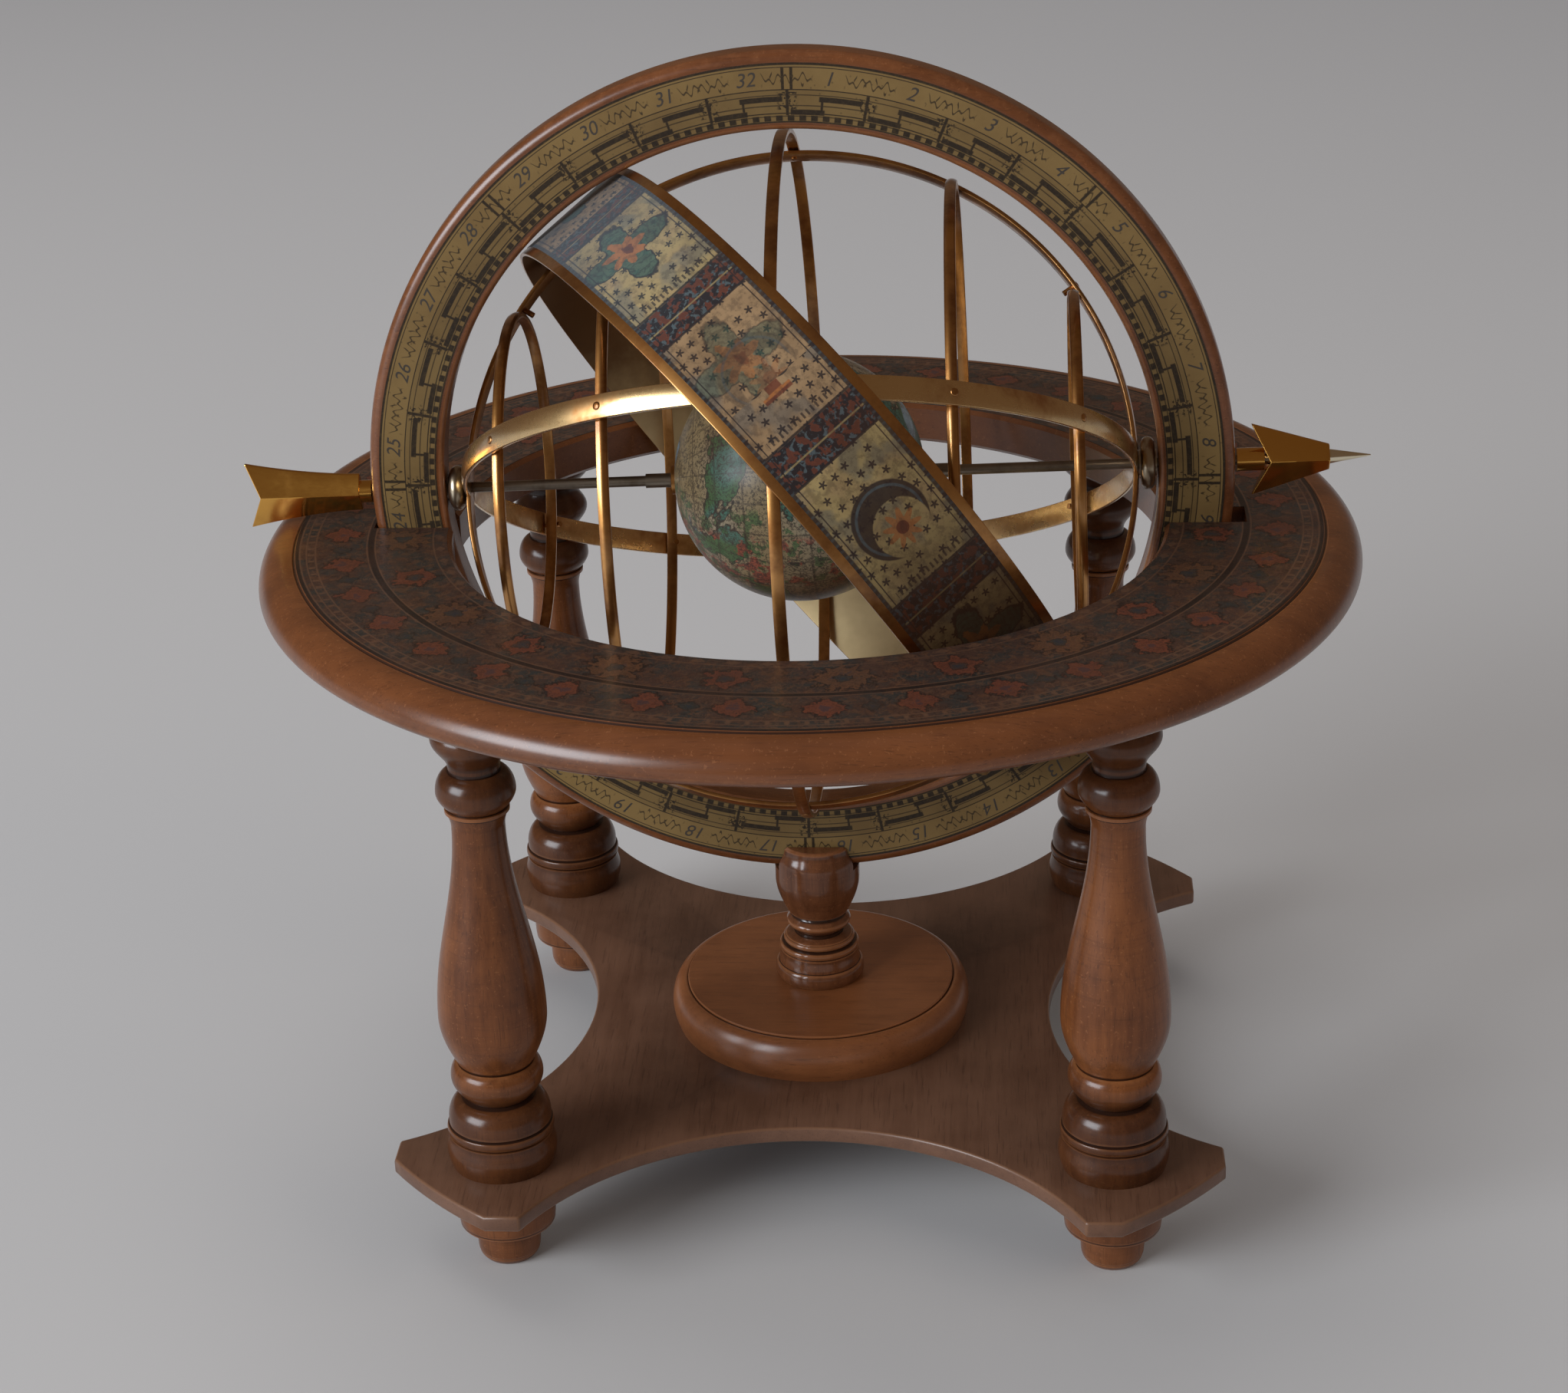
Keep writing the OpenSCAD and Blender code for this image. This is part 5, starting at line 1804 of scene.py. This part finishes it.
@dataclass
class BandedSphere:
    """The hoops, the slanted band with its print, the rivets and the ends at the poles."""

    ring_in: float = 84.0
    gap: float = 0.67
    turn: float = 56.0
    paper: float = 0.12
    main_w: float = 5.5
    main_t: float = 1.4
    middle_w: float = 2.8
    middle_t: float = 1.3
    small_w: float = 2.6
    small_t: float = 1.3
    tropic_angle: float = 30.2
    polar_angle: float = 58.4
    band_w: float = 30.0
    band_t: float = 0.9
    band_margin: float = 2.3
    band_tilt: float = 41.0
    slip: float = 0.05
    rounding: float = 0.18
    dome: float = 0.4
    rivet_r: float = 0.7
    rivet_head_r: float = 0.95
    rivet_head_h: float = 0.3
    rivet_reach: float = 2.4
    rivet_tail: float = 0.4
    rivet_sunk: float = 0.1
    pole_gap: float = 0.4
    bead_r: float = 5.4
    bead_root_r: float = 2.43
    spool_r: float = 6.2
    spool_rim: float = 0.4
    segments: int = 256
    small_segments: int = 192
    pole_segments: int = 72
    rivet_segments: int = 24
    sharp_deg: float = 40.0
    turned_deg: float = 35.0

    @property
    def band_out(self) -> float:
        """Outer radius of the slanted band."""
        return math.sqrt((self.ring_in - self.gap) ** 2 - (self.band_w / 2) ** 2) - self.paper

    @property
    def middle_out(self) -> float:
        """Outer radius of the middle hoop."""
        return self.band_out - self.band_t - self.slip

    @property
    def cage_out(self) -> float:
        """Outer radius of the two main hoops."""
        return self.middle_out - self.middle_t

    @property
    def cage_in(self) -> float:
        """Inner radius of the two main hoops."""
        return self.cage_out - self.main_t

    def band_place(self) -> Matrix:
        """Returns the band's place: its own axis is +Z."""
        return (ROD @ Matrix.Rotation(math.radians(self.turn), 4, "X")
                @ Matrix.Rotation(math.radians(self.band_tilt), 4, "Z") @ SIDEWAYS)

    def hoop(self, name: str, outer: float, thick: float, width: float, place: Matrix,
             finish: Material, segments: int, dome: float = 0.0) -> Piece:
        """Builds one hoop that stands for the node of the same name.

        Args:
            name: The CAD node that it replaces.
            outer: Outer radius.
            thick: Thickness of the strip.
            width: Width of the strip.
            place: Its place, with its axis along +Z.
            finish: Its material.
            segments: Number of steps round it.
            dome: How far its outer face falls away at the edges.

        Returns:
            The hoop.
        """
        section = strip_section(outer - thick, outer, width, self.rounding, dome)
        form = revolve(section, True, segments, place)
        return self.add(f"{name}_strip", form, finish, name, self.sharp_deg)

    def add(self, name: str, form: Form, finish: Material, node: str, angle: float) -> Piece:
        """Sets up one of the sphere's own pieces in place of a CAD node and returns it."""
        return set_up(name, form, Body.SPHERE, finish, node, angle)

    def main_hoop(self, name: str, turn: float, outer_layer: bool, finish: Material) -> None:
        """Builds a main hoop, halved at the poles where it crosses the other.

        Args:
            name: The CAD node that it replaces.
            turn: Its turn about the rod, in degrees.
            outer_layer: Whether it keeps its outer half at the poles.
            finish: Its material.
        """
        place = ROD @ Matrix.Rotation(math.radians(turn), 4, "X")
        section = strip_section(self.cage_in, self.cage_out, self.main_w, self.rounding, self.dome)
        form = revolve(section, True, self.segments, place)
        middle = (self.cage_in + self.cage_out) / 2
        half = self.main_w / 2 + self.slip
        away = self.cage_in - OVERCUT if outer_layer else self.cage_out + OVERCUT
        cutters = []
        for side in (-1, 1):
            cut = box_form(Vector((side * away, -half, -self.main_w)),
                           Vector((side * middle, half, self.main_w)))
            cut.transform(Matrix.Scale(MM, 4) @ place @ Matrix.Scale(1 / MM, 4))
            cutters.append(cut)
        self.add(f"{name}_strip", carve(form, cutters), finish, name, self.sharp_deg)

    def line_band(self, strip: Piece, finish: Material, facing: float = -0.9) -> None:
        """Gives the faces on the inner side of the slanted band their own finish.

        Args:
            strip: The band.
            finish: The finish of its inner side.
            facing: Faces that look inward more than this count, as a cosine.
        """
        strip.data.materials.append(finish)
        axis = self.band_place().to_3x3().col[2]
        middle = ROD.translation * MM
        for face in strip.data.polygons:
            spoke = face.center - middle
            spoke -= axis * spoke.dot(axis)
            if face.normal.dot(spoke.normalized()) < facing:
                face.material_index = len(strip.data.materials) - 1

    def rivets(self, finish: Material) -> None:
        """Builds the domed rivets where hoops cross."""
        form = bmesh.new()
        for quarter in range(4):
            spoke = ROD @ Matrix.Rotation(math.radians(self.turn + 90 * quarter), 4, "X")
            places = []
            for angle in (self.tropic_angle, self.polar_angle):
                lean = math.degrees(math.acos(math.sin(math.radians(angle)) - self.small_w / 2 / self.cage_in))
                places += [(lean, self.cage_in - self.rivet_reach, self.cage_out, True),
                           (180 - lean, self.cage_in - self.rivet_reach, self.cage_out, True)]
            start, flush = self.cage_in - self.rivet_tail, self.band_out - self.rivet_sunk
            if quarter % 2 == 0:
                places.append((90, start, self.middle_out, True))
                places.append((90 + self.band_tilt, start, flush, False))
            else:
                places.append((90, start, flush, False))
            for angle, start, end, domed in places:
                line = Outline([(0, start)], steps=5).to(self.rivet_r, start).to(self.rivet_r, end)
                if domed:
                    line.to(self.rivet_head_r, end)
                    line.bend(Bend.SHOULDER, 0, end + self.rivet_head_h)
                else:
                    line.to(0, end)
                place = spoke @ Matrix.Rotation(math.radians(angle), 4, "Z") @ SIDEWAYS
                rivet = revolve(line.points, False, self.rivet_segments, place)
                mesh = bpy.data.meshes.new("rivet")
                rivet.to_mesh(mesh)
                rivet.free()
                form.from_mesh(mesh)
                bpy.data.meshes.remove(mesh)
        self.add("domed_rivets", form, finish, "hoop_rivets", self.turned_deg)

    def poles(self, finish: Material) -> None:
        """Builds the bead and the spool between the sphere and the upright ring."""
        start, end = self.cage_out, self.ring_in - self.pole_gap
        bead = Outline([(0, start)], steps=20).to(self.bead_root_r, start)
        bead.bead(self.bead_r - self.bead_root_r, end).to(0, end)
        form = revolve(bead.points, False, self.pole_segments, ROD @ SIDEWAYS.inverted())
        self.add("turned_bead", form, finish, "pole_bead_left", self.turned_deg)
        out = (end - start) / 2 - self.spool_rim
        root = self.spool_r / 2
        low, high = start + self.spool_rim, end - self.spool_rim
        spool = Outline([(0, start)], steps=20).to(root, start).to(root, low)
        spool.to(self.spool_r - out, low).bead(out, high)
        spool.to(root, high).to(root, end).to(0, end)
        form = revolve(spool.points, False, self.pole_segments, ROD @ SIDEWAYS)
        self.add("turned_spool", form, finish, "pole_spool_right", self.turned_deg)

    def build(self, finishes: Finishes) -> None:
        """Builds every hoop, the band and its fittings."""
        brass = finishes.brass
        self.main_hoop("colure_hoop", self.turn + 90, True, finishes.worn_brass)
        self.main_hoop("solstice_hoop", self.turn, False, brass)
        self.hoop("equator_hoop", self.middle_out, self.middle_t, self.middle_w, ROD @ SIDEWAYS, brass,
                  self.segments, self.dome / 2)
        for kind, angle in (("tropic", self.tropic_angle), ("polar", self.polar_angle)):
            outer = self.cage_in * math.cos(math.radians(angle))
            at = self.cage_in * math.sin(math.radians(angle)) - self.small_w / 2
            for side, sign in (("left", -1), ("right", 1)):
                place = ROD @ Matrix.Translation((sign * at, 0, 0)) @ SIDEWAYS
                self.hoop(f"{kind}_hoop_{side}", outer, self.small_t, self.small_w, place, brass,
                          self.small_segments, self.dome)
        strip = self.hoop("zodiac_band", self.band_out, self.band_t, self.band_w, self.band_place(), brass,
                          self.segments)
        self.line_band(strip, finishes.lining)
        width = self.band_w - 2 * self.band_margin
        scale = BandPrint("zodiac print", self.band_place(), self.band_out, width)
        dress(scale.make(), "zodiac_scale")
        self.rivets(brass)
        self.poles(finishes.cap)


@dataclass
class LittleGlobe:
    """The little globe in the middle."""

    radius: float = 29.6
    wall: float = 1.8
    bush_r: float = 2.4
    flange_r: float = 3.4
    seat_drop: float = 0.01
    outer_steps: int = 96
    inner_steps: int = 32
    segments: int = 144
    sharp_deg: float = 40.0

    def build(self, finishes: Finishes) -> None:
        """Builds the shell with a seat for its bushes, and dresses the bushes."""
        seat = math.sqrt(self.radius ** 2 - self.flange_r ** 2) - self.seat_drop
        inner = self.radius - self.wall
        first = math.degrees(math.acos(self.flange_r / self.radius))
        last = math.degrees(math.acos(self.bush_r / inner))
        line = Outline([], self.outer_steps).arc((0, 0), self.radius, -first, first)
        line.to(self.flange_r, seat).to(self.bush_r, seat)
        line.steps = self.inner_steps
        line.arc((0, 0), inner, last, -last).to(self.bush_r, -seat).to(self.flange_r, -seat)
        form = revolve(line.points, True, self.segments, ROD @ SIDEWAYS)
        set_up("globe_shell", form, Body.GLOBE, finishes.globe_map, "little_globe",
               self.sharp_deg)
        dress(finishes.brass, "globe_bush_left", "globe_bush_right")


@dataclass(frozen=True)
class Lamp:
    """A soft rectangular lamp: place and size in metres, power in watts.

    Only a mirrored lamp shows in glossy surfaces.
    """

    name: str
    at: tuple[float, float, float]
    size: tuple[float, float]
    power: float
    colour: Colour
    mirrored: bool = False

    def hang(self, aim: Vector) -> None:
        """Hangs the lamp so that it faces a point in metres."""
        light = bpy.data.lights.new(self.name, "AREA")
        light.shape = "RECTANGLE"
        light.size, light.size_y = self.size
        light.energy = self.power
        light.color = self.colour
        holder = bpy.data.objects.new(self.name, light)
        holder.visible_glossy = self.mirrored
        holder.location = self.at
        holder.rotation_mode = "QUATERNION"
        holder.rotation_quaternion = (aim - Vector(self.at)).to_track_quat("-Z", "Y")
        bpy.context.scene.collection.objects.link(holder)


@dataclass
class Studio:
    """The pale floor, the soft light and the camera."""

    eye: tuple[float, float, float] = (45.91, -726.59, 438.68)
    yaw: float = -0.08508
    pitch: float = -0.42892
    roll: float = -0.03791
    focal_px: float = 4274.1
    centre_x_px: float = -47.43
    centre_y_px: float = 36.77
    photo_w: int = 2044
    sensor: float = 36.0
    floor_half: float = 4.0
    floor: Colour = (0.475, 0.458, 0.445)
    sky: Colour = (0.90, 0.92, 1.0)
    sky_level: float = 0.33
    room: Colour = (0.36, 0.24, 0.16)
    room_level: float = 0.32
    floor_rough: float = 0.75
    clip_start: float = 0.05
    clip_end: float = 50.0
    aim_h: float = 0.13
    lamps: tuple[Lamp, ...] = (
        Lamp("window", (-2.16, -1.66, 1.19), (1.8, 1.44), 94.0, (0.87, 0.93, 1.0), True),
        Lamp("room_side", (1.3, -0.5, 0.9), (1.2, 0.8), 4.0, (1.0, 0.86, 0.70)),
        Lamp("ceiling", (-0.5, 0.6, 1.8), (1.6, 1.6), 10.0, (1.0, 0.97, 0.93)))

    def camera(self) -> None:
        """Makes the camera at the photograph's viewing angle."""
        ahead = Vector((math.sin(self.yaw) * math.cos(self.pitch), math.cos(self.yaw) * math.cos(self.pitch),
                        math.sin(self.pitch)))
        right = Vector((math.cos(self.yaw), -math.sin(self.yaw), 0.0))
        up = right.cross(ahead)
        side = right * math.cos(self.roll) + up * math.sin(self.roll)
        over = up * math.cos(self.roll) - right * math.sin(self.roll)
        place = Matrix((side, over, -ahead)).transposed().to_4x4()
        place.translation = Vector(self.eye) * MM
        lens = bpy.data.cameras.new("camera")
        lens.sensor_width = self.sensor
        lens.lens = self.focal_px / self.photo_w * self.sensor
        lens.shift_x = -self.centre_x_px / self.photo_w
        lens.shift_y = self.centre_y_px / self.photo_w
        lens.clip_start = self.clip_start
        lens.clip_end = self.clip_end
        camera = bpy.data.objects.new("camera", lens)
        camera.matrix_world = place
        bpy.context.scene.collection.objects.link(camera)
        bpy.context.scene.camera = camera

    def build(self) -> None:
        """Builds floor, world, lamps and camera."""
        form = bmesh.new()
        corners = [(-1, -1), (1, -1), (1, 1), (-1, 1)]
        form.faces.new([form.verts.new((x * self.floor_half, y * self.floor_half, 0.0)) for x, y in corners])
        mesh = bpy.data.meshes.new("floor")
        form.to_mesh(mesh)
        form.free()
        floor = bpy.data.objects.new("floor", mesh)
        bpy.context.scene.collection.objects.link(floor)
        material = bpy.data.materials.new("pale floor")
        material.use_nodes = True
        sheet = Sheet(material.node_tree)
        sheet.fill(sheet.tree.nodes["Principled BSDF"], Base_Color=self.floor, Roughness=self.floor_rough)
        mesh.materials.append(material)
        world = bpy.data.worlds.new("studio")
        world.use_nodes = True
        sheet = Sheet(world.node_tree)
        nodes, link = world.node_tree.nodes, world.node_tree.links.new
        sky = sheet.fill(nodes["Background"], Color=self.sky, Strength=self.sky_level)
        room = sheet.fill(sheet.node("ShaderNodeBackground"), Color=self.room, Strength=self.room_level)
        choice = sheet.node("ShaderNodeMixShader")
        link(sheet.node("ShaderNodeLightPath").outputs["Is Glossy Ray"], choice.inputs[0])
        link(sky.outputs[0], choice.inputs[1])
        link(room.outputs[0], choice.inputs[2])
        link(choice.outputs[0], nodes["World Output"].inputs["Surface"])
        bpy.context.scene.world = world
        for lamp in self.lamps:
            lamp.hang(Vector((0, 0, self.aim_h)))
        self.camera()
        bpy.context.scene.view_settings.view_transform = "Standard"


def main() -> None:
    """Builds every sub-assembly in order and reports each one."""
    logging.basicConfig(level=logging.INFO, format="%(name)s: %(message)s")
    finishes = Finishes()
    for part in (Feet(), BasePlate(), Legs(), Pedestal(), FlatRing(), UprightRing(), Arrow(), BandedSphere(),
                 LittleGlobe()):
        part.build(finishes)
        LOG.info("built %s", type(part).__name__)
    Studio().build()
    LOG.info("built the studio")


if __name__ == "__main__":
    main()
